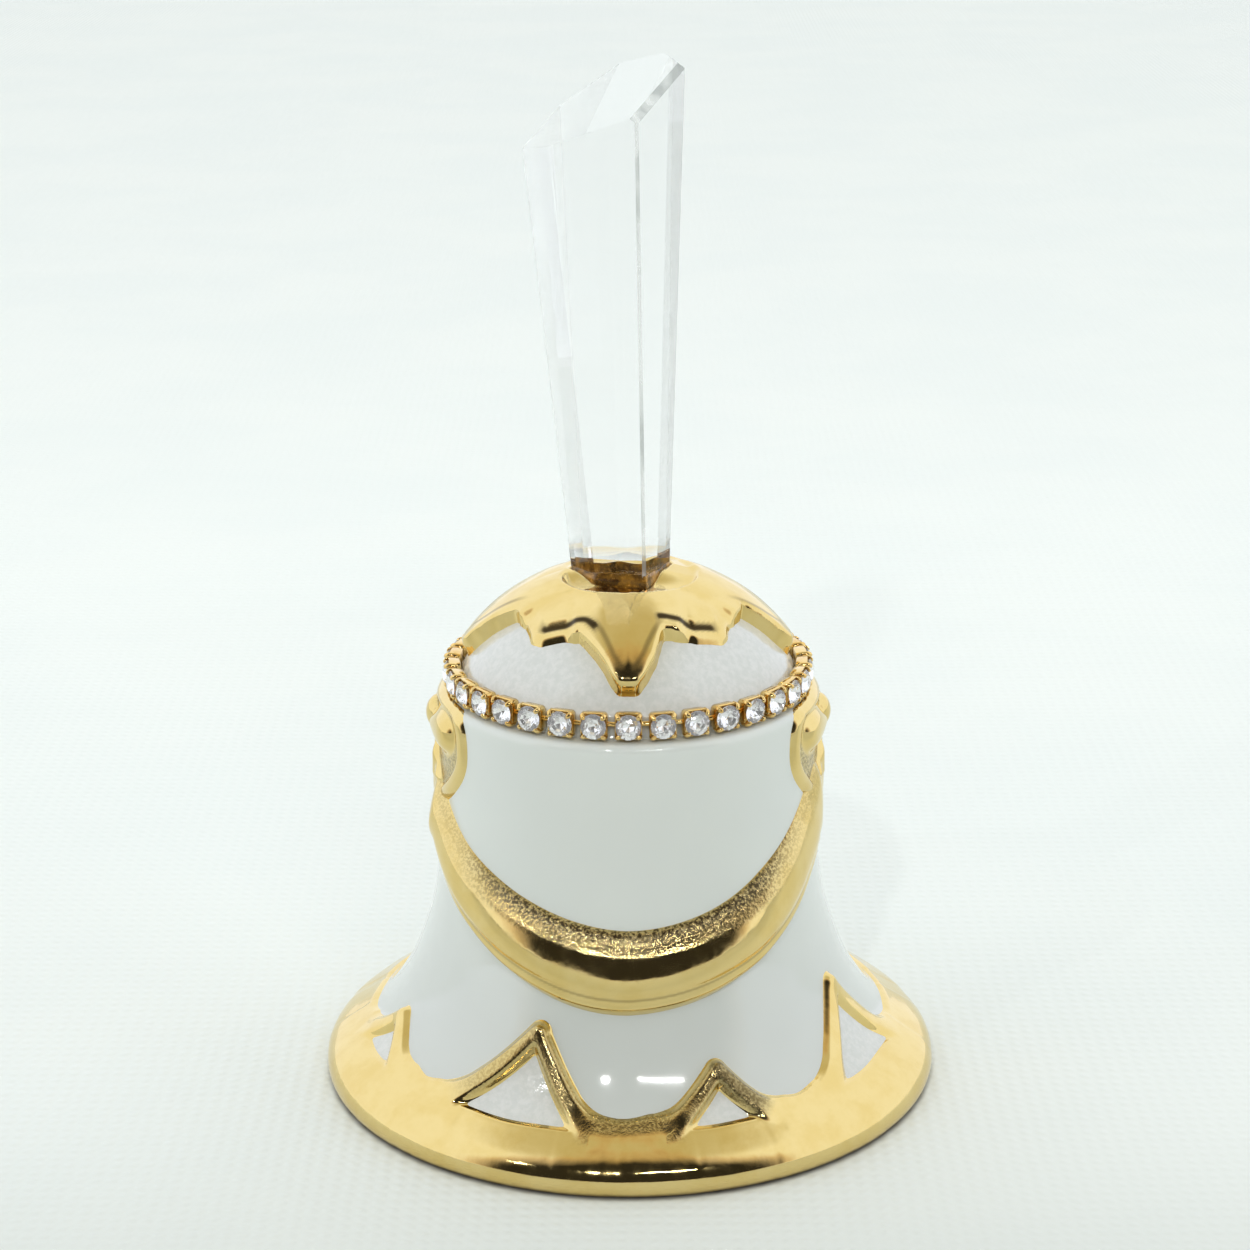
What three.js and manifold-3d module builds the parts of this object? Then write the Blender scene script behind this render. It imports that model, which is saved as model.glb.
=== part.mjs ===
// A collector's hand bell: a white porcelain bell with gilded relief, a rhinestone cup chain round
// its shoulder, a faceted crystal handle and a brass clapper on a link inside.
// Millimetres, +Z up. The origin is the centre of the mouth, on the plane the bell stands on.
// The front of the bell faces -Y.
import * as THREE from 'three';
import { ConvexGeometry } from 'three/addons/geometries/ConvexGeometry.js';
import { mergeVertices } from 'three/addons/utils/BufferGeometryUtils.js';
import Module from 'manifold-3d';

const wasm = await Module();
wasm.setup();

// ---- Driving dimensions -------------------------------------------------------------------

const MOUTH_RADIUS = 37.5;
const FOOT_OUTER_RADIUS = 36.4;
const FOOT_INNER_RADIUS = 34.6;
const JOINT_GAP = 0.3;
const ROUND_SEGMENTS = 40;

// Waist and flare of the porcelain, outside: [radius, height].
const WAIST_RADIUS = 22.7;
const WAIST = [
  [30.6, 8], [28.5, 11], [26.9, 14], [25.4, 18], [24.2, 22], [23.4, 27], [22.95, 33], [22.75, 40],
  [WAIST_RADIUS, 47],
];
const SHOULDER_HEIGHT = 49.6;
const SHOULDER_ROUNDING = 1.1;
const CHAIN_WALL_RADIUS = 19.9;

// The dome is part of a sphere, cut flat at the crown where the handle is seated.
const DOME_RADIUS = 23.3;
const DOME_CENTRE = 40.1;
const CROWN_HEIGHT = 61.6;

// Inside of the porcelain: a spherical vault over a flaring wall.
const VAULT_RADIUS = 19.3;
const VAULT_CENTRE = 38.6;
const INNER_WALL = [[19.8, 30], [20.4, 25], [21.8, 19], [24.0, 14], [27.2, 9], [31.0, 4.6], [34.0, 1.2]];

// Gilding round the mouth, and the range of peaks that rises from it.
const LIP_LOW = 1.0;
const LIP_HIGH = 1.6;
const LIP_SHOULDER = [36.9, 2.6];
const BAND_MIDDLE = [35.2, 3.9];
const RIM_TOP_RADIUS = 32.4;
const RIM_TOP_HEIGHT = 6.1;
const RIM_THICKNESS = 0.7;
const RIDGE_WIDTH = 2.2;
const RIDGE_HEIGHT = 1.0;
// Each peak: [bearing of its apex in degrees, height of its apex, bearing of its left and right foot].
const PEAKS = [
  [-70.5, 10.2, -82, -57], [-23, 15.0, -43, -8], [20.5, 11.2, 7, 31], [65.4, 15.0, 46, 80],
  [144, 11.2, 129, 158], [181, 15.0, 163, 199], [218, 11.2, 204, 231],
];

// Swags hang between the two bows: height of each border at the middle, and how fast it climbs.
const SWAG_HALF_ANGLE = 84;
const SWAG_UPPER_MIDDLE = 27.1;
const SWAG_LOWER_MIDDLE = 17.6;
const SWAG_BULGE = 2.0;

// Bows on the two sides.
const BOW_HEIGHT = 44.6;
const BOW_LOBE_ANGLE = 33;
const BOW_LOBE_HALF_HEIGHT = 4.6;
const BOW_KNOT_RADIUS = 2.1;

// Star on the crown, with a seat for the handle.
const STAR_THICKNESS = 0.8;
const STAR_LONG_ARM = 19.0;
const STAR_SHORT_ARM = 15.6;
const STAR_NOTCH = 13.6;
const STAR_NOTCH_ANGLE = 20;
const SEAT_HEIGHT = 62.4;
const SEAT_RIM_HEIGHT = 63.9;
const SEAT_CLEARANCE = 0.35;

// Crystal handle. Each facet: [bearing of its normal, distance from the axis at the foot,
// distance at the gauge height]. The oblique top is the plane z = height + slopeX x + slopeY y.
const CEMENT_THICKNESS = 0.4;
const HANDLE_FOOT_HEIGHT = SEAT_HEIGHT + CEMENT_THICKNESS;
const HANDLE_GAUGE_HEIGHT = 118;
const HANDLE_FACETS = [
  [152.3, 5.85, 9.25], [226.9, 4.55, 10.65], [254.8, 3.6, 8.35], [333.2, 3.75, 5.2], [376.1, 5.25, 6.85],
  [417.2, 5.0, 8.05], [483.2, 5.0, 8.7],
];
const HANDLE_TOP = { height: 120.5, slopeX: 0.441, slopeY: 0.223 };

// Cup chain: square settings with corner prongs, joined by short bars.
const STONE_COUNT = 34;
const STONE_RADIUS = 1.4;
const CHAIN_HEIGHT = 51.56;
const CHAIN_BACK_RADIUS = 20.2;
const CUP_WIDTH = 3.3;
const CUP_DEPTH = 1.75;
const CUP_FLOOR = 0.4;
const CUP_WALL = 0.35;
const CUP_WALL_HEIGHT = 1.0;
const PRONG_WIDTH = 0.5;
const LINK_BAR_THICKNESS = 0.6;

// Clapper: an eye cemented into the vault, a link, and a rod with a ball.
const EYE_PLATE_HEIGHT = 54.7;
const EYE_PLATE_THICKNESS = 0.9;
const EYE_PLATE_RADIUS = 4.2;
const EYE_HEIGHT = 51.4;
const EYE_HALF_WIDTH = 2.2;
const EYE_WIRE_RADIUS = 0.6;
const LINK_WIRE_RADIUS = 0.5;
const LINK_HALF_WIDTH = 1.6;
const LINK_STRAIGHT = 2.4;
const ROD_EYE_RADIUS = 1.6;
const ROD_EYE_WIRE_RADIUS = 0.55;
const ROD_RADIUS = 0.9;
const ROD_FOOT_HEIGHT = 6.4;
const BALL_RADIUS = 5.5;
const BALL_HEIGHT = 13.4;
const BALL_BORE_RADIUS = 1.2;
const NUT_RADIUS = 1.9;
const NUT_THICKNESS = 1.3;

// ---- Materials ----------------------------------------------------------------------------

const MATERIALS = {
  porcelain: new THREE.MeshStandardMaterial({ color: '#e9eeeb', roughness: 0.12, metalness: 0 }),
  gilding: new THREE.MeshStandardMaterial({ color: '#d3ac55', roughness: 0.16, metalness: 1 }),
  crystal: new THREE.MeshStandardMaterial({ color: '#f2f8f8', roughness: 0.02, metalness: 0 }),
  cement: new THREE.MeshStandardMaterial({ color: '#8a6420', roughness: 0.3, metalness: 0 }),
  chainMetal: new THREE.MeshStandardMaterial({ color: '#d8a24a', roughness: 0.2, metalness: 1 }),
  brass: new THREE.MeshStandardMaterial({ color: '#b8954e', roughness: 0.3, metalness: 1 }),
  plaster: new THREE.MeshStandardMaterial({ color: '#d9d6cc', roughness: 0.9, metalness: 0 }),
};

// ---- Geometry helpers ---------------------------------------------------------------------

const radians = THREE.MathUtils.degToRad;

// A piece turned about Z. The profile runs up the outside and down the inside.
function turned(profile, segments) {
  const points = profile.map(([radius, height]) => new THREE.Vector2(radius, height));
  return new THREE.LatheGeometry(points, segments).rotateX(Math.PI / 2);
}

// Points of a circular arc in a profile, from one angle to another.
function arc(centreRadius, centreHeight, radius, fromDegrees, toDegrees, steps) {
  const points = [];
  for (let step = 0; step <= steps; step += 1) {
    const angle = radians(fromDegrees + ((toDegrees - fromDegrees) * step) / steps);
    points.push([centreRadius + radius * Math.cos(angle), centreHeight + radius * Math.sin(angle)]);
  }
  return points;
}

// A closed mesh with shared corners, as a solid that can be joined and cut.
function solid(geometry) {
  const bare = geometry.clone();
  bare.deleteAttribute('normal');
  bare.deleteAttribute('uv');
  const merged = mergeVertices(bare, 1e-4);
  const corners = merged.index.array;
  const kept = [];
  for (let face = 0; face < corners.length; face += 3) {
    const [a, b, c] = [corners[face], corners[face + 1], corners[face + 2]];
    if (a !== b && b !== c && c !== a) {
      kept.push(a, b, c);
    }
  }
  const vertProperties = new Float32Array(merged.attributes.position.array);
  const triVerts = new Uint32Array(kept);
  return new wasm.Manifold(new wasm.Mesh({ numProp: 3, vertProperties, triVerts }));
}

function geometryOf(body) {
  const mesh = body.getMesh();
  const geometry = new THREE.BufferGeometry();
  geometry.setAttribute('position', new THREE.BufferAttribute(mesh.vertProperties, 3));
  geometry.setIndex(new THREE.BufferAttribute(mesh.triVerts, 1));
  geometry.computeVertexNormals();
  return geometry;
}

// A solid lofted through closed sections that all have the same number of corners.
// Seen along the loft, each section runs clockwise.
function lofted(sections) {
  const corners = sections[0].length;
  const positions = sections.flat().flatMap((point) => [point.x, point.y, point.z]);
  const faces = [];
  for (let row = 0; row + 1 < sections.length; row += 1) {
    for (let corner = 0; corner < corners; corner += 1) {
      const next = (corner + 1) % corners;
      const [a, b] = [row * corners + corner, row * corners + next];
      const [c, d] = [a + corners, b + corners];
      faces.push(a, b, d, a, d, c);
    }
  }
  const last = (sections.length - 1) * corners;
  for (let corner = 1; corner + 1 < corners; corner += 1) {
    faces.push(0, corner + 1, corner);
    faces.push(last, last + corner, last + corner + 1);
  }
  const geometry = new THREE.BufferGeometry();
  geometry.setAttribute('position', new THREE.Float32BufferAttribute(positions, 3));
  geometry.setIndex(faces);
  geometry.computeVertexNormals();
  return geometry;
}

// The flare's radius at a height, read along the waist profile.
const FLARE = [[RIM_TOP_RADIUS, RIM_TOP_HEIGHT], ...WAIST, [WAIST_RADIUS, SHOULDER_HEIGHT]];

function bodyRadius(height) {
  for (let row = 1; row < FLARE.length; row += 1) {
    const [lowRadius, lowHeight] = FLARE[row - 1];
    const [highRadius, highHeight] = FLARE[row];
    if (height <= highHeight || row === FLARE.length - 1) {
      const share = (height - lowHeight) / (highHeight - lowHeight);
      return lowRadius + (highRadius - lowRadius) * share;
    }
  }
  return MOUTH_RADIUS;
}

// A point over the flank, at a bearing from the front (degrees, +X side positive) and a height.
function overFlank(bearing, height, lift) {
  const slope = (bodyRadius(height + 0.5) - bodyRadius(height - 0.5));
  const normal = new THREE.Vector2(1, -slope).normalize();
  const radius = bodyRadius(height) + normal.x * lift;
  const angle = radians(bearing);
  return new THREE.Vector3(radius * Math.sin(angle), -radius * Math.cos(angle), height + normal.y * lift);
}

// ---- Porcelain ----------------------------------------------------------------------------

function bellShell() {
  const recess = RIM_THICKNESS + JOINT_GAP;
  const rim = [
    [FOOT_OUTER_RADIUS, 0],
    [MOUTH_RADIUS - recess, LIP_LOW + 0.2],
    [LIP_SHOULDER[0] - recess + 0.1, LIP_SHOULDER[1] - 0.6],
    [BAND_MIDDLE[0] - recess + 0.2, BAND_MIDDLE[1] - recess],
    [RIM_TOP_RADIUS - recess + 0.1, RIM_TOP_HEIGHT - RIM_THICKNESS],
    [RIM_TOP_RADIUS - RIM_THICKNESS, RIM_TOP_HEIGHT + 0.5],
  ];
  const domeStart = THREE.MathUtils.radToDeg(Math.acos(CHAIN_WALL_RADIUS / DOME_RADIUS));
  const domeEnd = THREE.MathUtils.radToDeg(Math.asin((CROWN_HEIGHT - DOME_CENTRE) / DOME_RADIUS));
  const shoulderTop = SHOULDER_HEIGHT - SHOULDER_ROUNDING;
  const profile = [
    [FOOT_INNER_RADIUS, 0],
    ...rim,
    ...WAIST,
    ...arc(WAIST_RADIUS - SHOULDER_ROUNDING, shoulderTop, SHOULDER_ROUNDING, 0, 90, 3),
    [CHAIN_WALL_RADIUS, SHOULDER_HEIGHT],
    ...arc(0, DOME_CENTRE, DOME_RADIUS, domeStart, domeEnd, 4),
    [0, CROWN_HEIGHT],
  ];
  const vault = arc(0, VAULT_CENTRE, VAULT_RADIUS, 90, 0, 5);
  return turned([...profile.slice(1), ...vault, ...INNER_WALL, profile[0], profile[1]], ROUND_SEGMENTS);
}

// ---- Gilded relief ------------------------------------------------------------------------

// Half-width and height of a ridge's rounded section, as [across, lift] in its own units.
const RIDGE_SECTION = [[-0.5, 0], [0.5, 0], [0.32, 0.75], [0, 1], [-0.32, 0.75]];

function ridge(path) {
  const sections = path.map(([bearing, height], row) => {
    const before = path[Math.max(row - 1, 0)];
    const after = path[Math.min(row + 1, path.length - 1)];
    const along = overFlank(...after, 0).sub(overFlank(...before, 0)).normalize();
    const up = overFlank(bearing, height, 1).sub(overFlank(bearing, height, 0)).normalize();
    const across = new THREE.Vector3().crossVectors(up, along).normalize();
    const centre = overFlank(bearing, height, JOINT_GAP);
    return RIDGE_SECTION.map(([side, lift]) => centre.clone()
      .addScaledVector(across, side * RIDGE_WIDTH)
      .addScaledVector(up, lift * RIDGE_HEIGHT));
  });
  return lofted(sections);
}

// One side of a peak, from its foot on the rim up to the apex.
function peakSide(bearing, apex, footBearing) {
  const foot = RIM_TOP_HEIGHT - 0.1;
  const steps = 4;
  const path = [];
  for (let step = 0; step <= steps; step += 1) {
    const share = step / steps;
    const height = foot + (apex - foot) * share ** 1.25;
    path.push([footBearing + (bearing - footBearing) * share, height]);
  }
  return ridge(path);
}

function giltRim() {
  const edge = FOOT_OUTER_RADIUS + JOINT_GAP + 0.1;
  const profile = [
    [edge, LIP_LOW / 2],
    [MOUTH_RADIUS, LIP_LOW],
    [MOUTH_RADIUS, LIP_HIGH],
    LIP_SHOULDER,
    BAND_MIDDLE,
    [RIM_TOP_RADIUS + 0.5, RIM_TOP_HEIGHT],
    [RIM_TOP_RADIUS - 0.1, RIM_TOP_HEIGHT + 0.3],
    [RIM_TOP_RADIUS - 0.5, RIM_TOP_HEIGHT - 0.4],
    [BAND_MIDDLE[0] - 0.5, BAND_MIDDLE[1] - 0.6],
    [LIP_SHOULDER[0] - 0.5, LIP_SHOULDER[1] - 0.6],
    [MOUTH_RADIUS - RIM_THICKNESS, LIP_LOW + 0.25],
    [edge, LIP_LOW / 2],
  ];
  let rim = solid(turned(profile, ROUND_SEGMENTS));
  for (const [bearing, apex, leftFoot, rightFoot] of PEAKS) {
    rim = rim.add(solid(peakSide(bearing, apex, leftFoot)));
    rim = rim.add(solid(peakSide(bearing, apex, rightFoot)));
  }
  return geometryOf(rim);
}

function swagBorders(bearing) {
  const turn = Math.abs(bearing) / 30;
  const upper = Math.min(SWAG_UPPER_MIDDLE + 2.6 * turn ** 1.9, 40.6 - (86 - Math.abs(bearing)) * 0.05);
  const lower = SWAG_LOWER_MIDDLE + 2.6 * turn ** 1.75;
  const horn = THREE.MathUtils.smoothstep(Math.abs(bearing), 60, SWAG_HALF_ANGLE);
  return [lower + horn * 3.6, upper + horn * 0.3];
}

// Section of a swag, from its lower border over the bulge to its upper border and back below.
const SWAG_SECTION = [
  [0, 0], [0.5, 0], [1, 0], [0.97, 0.3], [0.74, 0.85], [0.45, 1], [0.26, 0.85], [0.13, 0.62], [0.03, 0.4],
];

function swag(facing) {
  const steps = 20;
  const sections = [];
  for (let step = 0; step <= steps; step += 1) {
    const bearing = SWAG_HALF_ANGLE * ((2 * step) / steps - 1);
    const [lower, upper] = swagBorders(bearing);
    const fullness = SWAG_BULGE * (0.45 + 0.55 * Math.cos(radians(bearing)));
    sections.push(SWAG_SECTION.map(([share, lift]) => (
      overFlank(facing + bearing, lower + (upper - lower) * share, JOINT_GAP + fullness * lift)
    )));
  }
  return lofted(sections);
}

// A bow: two lobes either side of a round knot, with its outline bent round the flank.
function bow(facing) {
  const steps = 12;
  const sections = [];
  for (let step = 0; step <= steps; step += 1) {
    const share = (2 * step) / steps - 1;
    const bearing = facing + BOW_LOBE_ANGLE * share;
    const lobe = Math.sin(Math.PI * Math.min(Math.abs(share) * 0.92 + 0.06, 1)) ** 0.6;
    const knot = Math.max(0, 1 - Math.abs(share) / 0.18);
    const half = 0.5 + (BOW_LOBE_HALF_HEIGHT - 0.5) * Math.max(lobe, 0.55 * knot);
    const lift = 0.35 + 0.75 * lobe + BOW_KNOT_RADIUS * 0.45 * knot;
    sections.push([[-1, 0], [0, 0], [1, 0], [0.6, 0.8], [0, 1], [-0.6, 0.8]].map(([side, rise]) => (
      overFlank(bearing, BOW_HEIGHT + side * half * 0.96, JOINT_GAP + rise * lift)
    )));
  }
  return lofted(sections);
}

// Outline of the star: long arms on the axes, short arms between them.
function starOutline() {
  const points = [];
  const corner = (bearing, radius) => {
    const angle = radians(bearing - 90);
    points.push(new THREE.Vector2(radius * Math.cos(angle), radius * Math.sin(angle)));
  };
  for (let quarter = 0; quarter < 4; quarter += 1) {
    const axis = quarter * 90;
    corner(axis - 3.5, STAR_LONG_ARM);
    corner(axis + 3.5, STAR_LONG_ARM);
    corner(axis + STAR_NOTCH_ANGLE, STAR_NOTCH);
    corner(axis + 41, STAR_SHORT_ARM);
    corner(axis + 49, STAR_SHORT_ARM);
    corner(axis + 90 - STAR_NOTCH_ANGLE, STAR_NOTCH);
  }
  return new THREE.Shape(points);
}

function starCap() {
  const innerRadius = DOME_RADIUS + JOINT_GAP;
  const outerRadius = innerRadius + STAR_THICKNESS;
  const floor = CROWN_HEIGHT + JOINT_GAP;
  const crownAngle = THREE.MathUtils.radToDeg(Math.asin((floor - DOME_CENTRE) / innerRadius));
  const rimAngle = THREE.MathUtils.radToDeg(Math.asin((SEAT_RIM_HEIGHT - DOME_CENTRE) / outerRadius));
  const skin = turned([
    ...arc(0, DOME_CENTRE, outerRadius, 28, rimAngle, 6),
    [0, SEAT_RIM_HEIGHT],
    [0, floor],
    ...arc(0, DOME_CENTRE, innerRadius, crownAngle, 28, 5),
    arc(0, DOME_CENTRE, outerRadius, 28, 28, 1)[0],
  ], 32);
  const star = new THREE.ExtrudeGeometry(starOutline(), { depth: 30, bevelEnabled: false });
  star.translate(0, 0, DOME_CENTRE);
  const seat = new THREE.ExtrudeGeometry(footShape(SEAT_CLEARANCE), { depth: 10, bevelEnabled: false });
  seat.translate(0, 0, SEAT_HEIGHT);
  return geometryOf(solid(skin).intersect(solid(star)).subtract(solid(seat)));
}

// ---- Crystal handle -----------------------------------------------------------------------

// Where two neighbouring facets meet a third plane, normal . p = distance.
function facetCorner(first, second, capNormal, capDistance) {
  const rise = HANDLE_GAUGE_HEIGHT - HANDLE_FOOT_HEIGHT;
  const rows = [first, second].map(([bearing, foot, gauge]) => {
    const growth = (gauge - foot) / rise;
    const angle = radians(bearing);
    return [Math.cos(angle), Math.sin(angle), -growth, foot - growth * HANDLE_FOOT_HEIGHT];
  });
  const [[a, b, c, p], [d, e, f, q]] = rows;
  const planes = new THREE.Matrix3(a, b, c, d, e, f, capNormal.x, capNormal.y, capNormal.z);
  return new THREE.Vector3(p, q, capDistance).applyMatrix3(planes.invert());
}

function facetCorners(capNormal, capDistance) {
  return HANDLE_FACETS.map((facet, index) => {
    const next = HANDLE_FACETS[(index + 1) % HANDLE_FACETS.length];
    return facetCorner(facet, next, capNormal, capDistance);
  });
}

// The foot's outline, grown by a margin all round.
function footShape(margin) {
  const corners = facetCorners(new THREE.Vector3(0, 0, 1), HANDLE_FOOT_HEIGHT);
  return new THREE.Shape(corners.map((corner) => {
    const scale = 1 + margin / corner.clone().setZ(0).length();
    return new THREE.Vector2(corner.x * scale, corner.y * scale);
  }));
}

function crystalHandle() {
  const topNormal = new THREE.Vector3(-HANDLE_TOP.slopeX, -HANDLE_TOP.slopeY, 1);
  const foot = facetCorners(new THREE.Vector3(0, 0, 1), HANDLE_FOOT_HEIGHT);
  const top = facetCorners(topNormal, HANDLE_TOP.height);
  return new ConvexGeometry([...foot, ...top]);
}

function handleCement() {
  const wafer = new THREE.ExtrudeGeometry(footShape(0), { depth: CEMENT_THICKNESS, bevelEnabled: false });
  return wafer.translate(0, 0, SEAT_HEIGHT);
}

// ---- Cup chain ----------------------------------------------------------------------------

// One setting, open towards +X, with its back on x = 0 and a bar towards the next one:
// a square tray with low walls and a prong standing at each corner.
function chainLink() {
  const pitch = (2 * Math.PI * (CHAIN_BACK_RADIUS + 0.5)) / STONE_COUNT;
  const tray = new THREE.BoxGeometry(CUP_WALL_HEIGHT, CUP_WIDTH, CUP_WIDTH);
  tray.translate(CUP_WALL_HEIGHT / 2, 0, 0);
  const pocketWidth = CUP_WIDTH - 2 * CUP_WALL;
  const pocket = new THREE.BoxGeometry(CUP_DEPTH, pocketWidth, pocketWidth);
  pocket.translate(CUP_DEPTH / 2 + CUP_FLOOR, 0, 0);
  const bar = new THREE.BoxGeometry(LINK_BAR_THICKNESS, pitch - CUP_WIDTH + 0.6, LINK_BAR_THICKNESS);
  bar.translate(LINK_BAR_THICKNESS / 2 + 0.1, pitch / 2, 0);
  let link = solid(tray).subtract(solid(pocket)).add(solid(bar));
  const corner = (CUP_WIDTH - PRONG_WIDTH) / 2;
  for (const [side, end] of [[-1, -1], [-1, 1], [1, -1], [1, 1]]) {
    const prong = new THREE.BoxGeometry(CUP_DEPTH, PRONG_WIDTH, PRONG_WIDTH);
    link = link.add(solid(prong.translate(CUP_DEPTH / 2, side * corner, end * corner)));
  }
  return link;
}

function stoneBearing(index) {
  return -Math.PI / 2 + (2 * Math.PI * index) / STONE_COUNT;
}

function cupChain() {
  const link = chainLink();
  let chain = null;
  for (let index = 0; index < STONE_COUNT; index += 1) {
    const bearing = THREE.MathUtils.radToDeg(stoneBearing(index));
    const placed = link.translate([CHAIN_BACK_RADIUS, 0, CHAIN_HEIGHT]).rotate([0, 0, bearing]);
    chain = chain ? chain.add(placed) : placed;
  }
  return geometryOf(chain);
}

// A round brilliant, its table facing +X.
function stone() {
  const girdle = STONE_RADIUS;
  const profile = [[0, -0.55], [girdle, 0.3], [girdle, 0.42], [girdle * 0.56, 0.8], [0, 0.8]];
  const points = profile.map(([radius, height]) => new THREE.Vector2(radius, height));
  return new THREE.LatheGeometry(points, 8).rotateZ(-Math.PI / 2);
}

// ---- Clapper ------------------------------------------------------------------------------

function wire(path, radius, closed) {
  const section = new THREE.Shape();
  section.absarc(0, 0, radius, 0, 2 * Math.PI);
  const curve = new THREE.CatmullRomCurve3(path, closed, 'centripetal');
  return new THREE.ExtrudeGeometry(section, {
    steps: path.length * 2, curveSegments: 4, bevelEnabled: false, extrudePath: curve,
  });
}

// The cement that holds the eye, filling the vault above the eye's plate.
function eyeCement() {
  const top = VAULT_RADIUS - JOINT_GAP;
  const base = EYE_PLATE_HEIGHT + EYE_PLATE_THICKNESS;
  const radius = Math.min(EYE_PLATE_RADIUS + 1.2, Math.sqrt(top ** 2 - (base - VAULT_CENTRE) ** 2));
  const edge = THREE.MathUtils.radToDeg(Math.acos(radius / top));
  return turned([[0, base], [radius, base], ...arc(0, VAULT_CENTRE, top, edge, 90, 3)], 16);
}

function clapperEye() {
  const plate = new THREE.CylinderGeometry(EYE_PLATE_RADIUS, EYE_PLATE_RADIUS, EYE_PLATE_THICKNESS, 16);
  plate.rotateX(Math.PI / 2).translate(0, 0, EYE_PLATE_HEIGHT + EYE_PLATE_THICKNESS / 2);
  const bend = arc(0, EYE_HEIGHT + EYE_HALF_WIDTH, EYE_HALF_WIDTH, 180, 360, 8);
  const path = [[-EYE_HALF_WIDTH, EYE_PLATE_HEIGHT + 0.4], ...bend, [EYE_HALF_WIDTH, EYE_PLATE_HEIGHT + 0.4]];
  const loop = wire(path.map(([x, z]) => new THREE.Vector3(x, 0, z)), EYE_WIRE_RADIUS, false);
  return geometryOf(solid(plate).add(solid(loop)));
}

function clapperLink() {
  const upper = arc(0, EYE_HEIGHT, LINK_HALF_WIDTH, 0, 180, 6);
  const lower = arc(0, EYE_HEIGHT - LINK_STRAIGHT, LINK_HALF_WIDTH, 180, 360, 6);
  const path = [...upper, ...lower].map(([y, z]) => new THREE.Vector3(0, y, z));
  return wire(path, LINK_WIRE_RADIUS, true);
}

function clapperRod() {
  const eyeCentre = EYE_HEIGHT - LINK_STRAIGHT - LINK_HALF_WIDTH;
  const eye = new THREE.TorusGeometry(ROD_EYE_RADIUS, ROD_EYE_WIRE_RADIUS, 8, 16);
  eye.rotateX(Math.PI / 2).translate(0, 0, eyeCentre);
  const top = eyeCentre - ROD_EYE_RADIUS;
  const shank = turned([
    [0, ROD_FOOT_HEIGHT], [ROD_RADIUS, ROD_FOOT_HEIGHT], [ROD_RADIUS, top - 1.2], [ROD_RADIUS * 0.7, top], [0, top],
  ], 12);
  return geometryOf(solid(eye).add(solid(shank)));
}

function clapperBall() {
  const mouth = THREE.MathUtils.radToDeg(Math.acos(BALL_BORE_RADIUS / BALL_RADIUS));
  const round = arc(0, BALL_HEIGHT, BALL_RADIUS, -mouth, mouth, 10);
  return turned([...round, round[0]], 20);
}

function clapperNut() {
  const height = BALL_HEIGHT - BALL_RADIUS - 0.1;
  const bottom = height - NUT_THICKNESS;
  const bore = BALL_BORE_RADIUS;
  return turned([
    [bore, bottom], [NUT_RADIUS, bottom], [NUT_RADIUS, height], [bore, height], [bore, bottom],
  ], 6);
}

// ---- Assembly -----------------------------------------------------------------------------

const bell = new THREE.Group();

function add(name, geometry, material) {
  const mesh = new THREE.Mesh(geometry, material);
  mesh.name = name;
  bell.add(mesh);
  return mesh;
}

add('bell_shell', bellShell(), MATERIALS.porcelain);
add('gilt_rim', giltRim(), MATERIALS.gilding);
add('front_swag', swag(0), MATERIALS.gilding);
add('rear_swag', swag(180), MATERIALS.gilding);
add('right_bow', bow(90), MATERIALS.gilding);
add('left_bow', bow(-90), MATERIALS.gilding);
add('star_cap', starCap(), MATERIALS.gilding);
add('crystal_handle', crystalHandle(), MATERIALS.crystal);
add('handle_cement', handleCement(), MATERIALS.cement);
add('cup_chain', cupChain(), MATERIALS.chainMetal);

for (let index = 0; index < STONE_COUNT; index += 1) {
  const bearing = stoneBearing(index);
  const name = `stone_${String(index + 1).padStart(2, '0')}`;
  const mesh = add(name, stone(), MATERIALS.crystal);
  const radius = CHAIN_BACK_RADIUS + CUP_FLOOR + 0.65;
  mesh.position.set(radius * Math.cos(bearing), radius * Math.sin(bearing), CHAIN_HEIGHT);
  mesh.rotation.z = bearing;
}

add('eye_cement', eyeCement(), MATERIALS.plaster);
add('clapper_eye', clapperEye(), MATERIALS.brass);
add('clapper_link', clapperLink(), MATERIALS.brass);
add('clapper_rod', clapperRod(), MATERIALS.brass);
add('clapper_ball', clapperBall(), MATERIALS.brass);
add('clapper_nut', clapperNut(), MATERIALS.brass);

export default bell;
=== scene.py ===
"""Looks of a collector's hand bell: glazed white porcelain with gilded relief, a rhinestone cup
chain, a faceted crystal handle and a brass clapper.

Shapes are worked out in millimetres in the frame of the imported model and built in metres.
A bearing is in degrees round the bell from its front (-Y), positive towards +X.
"""
import math

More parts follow.
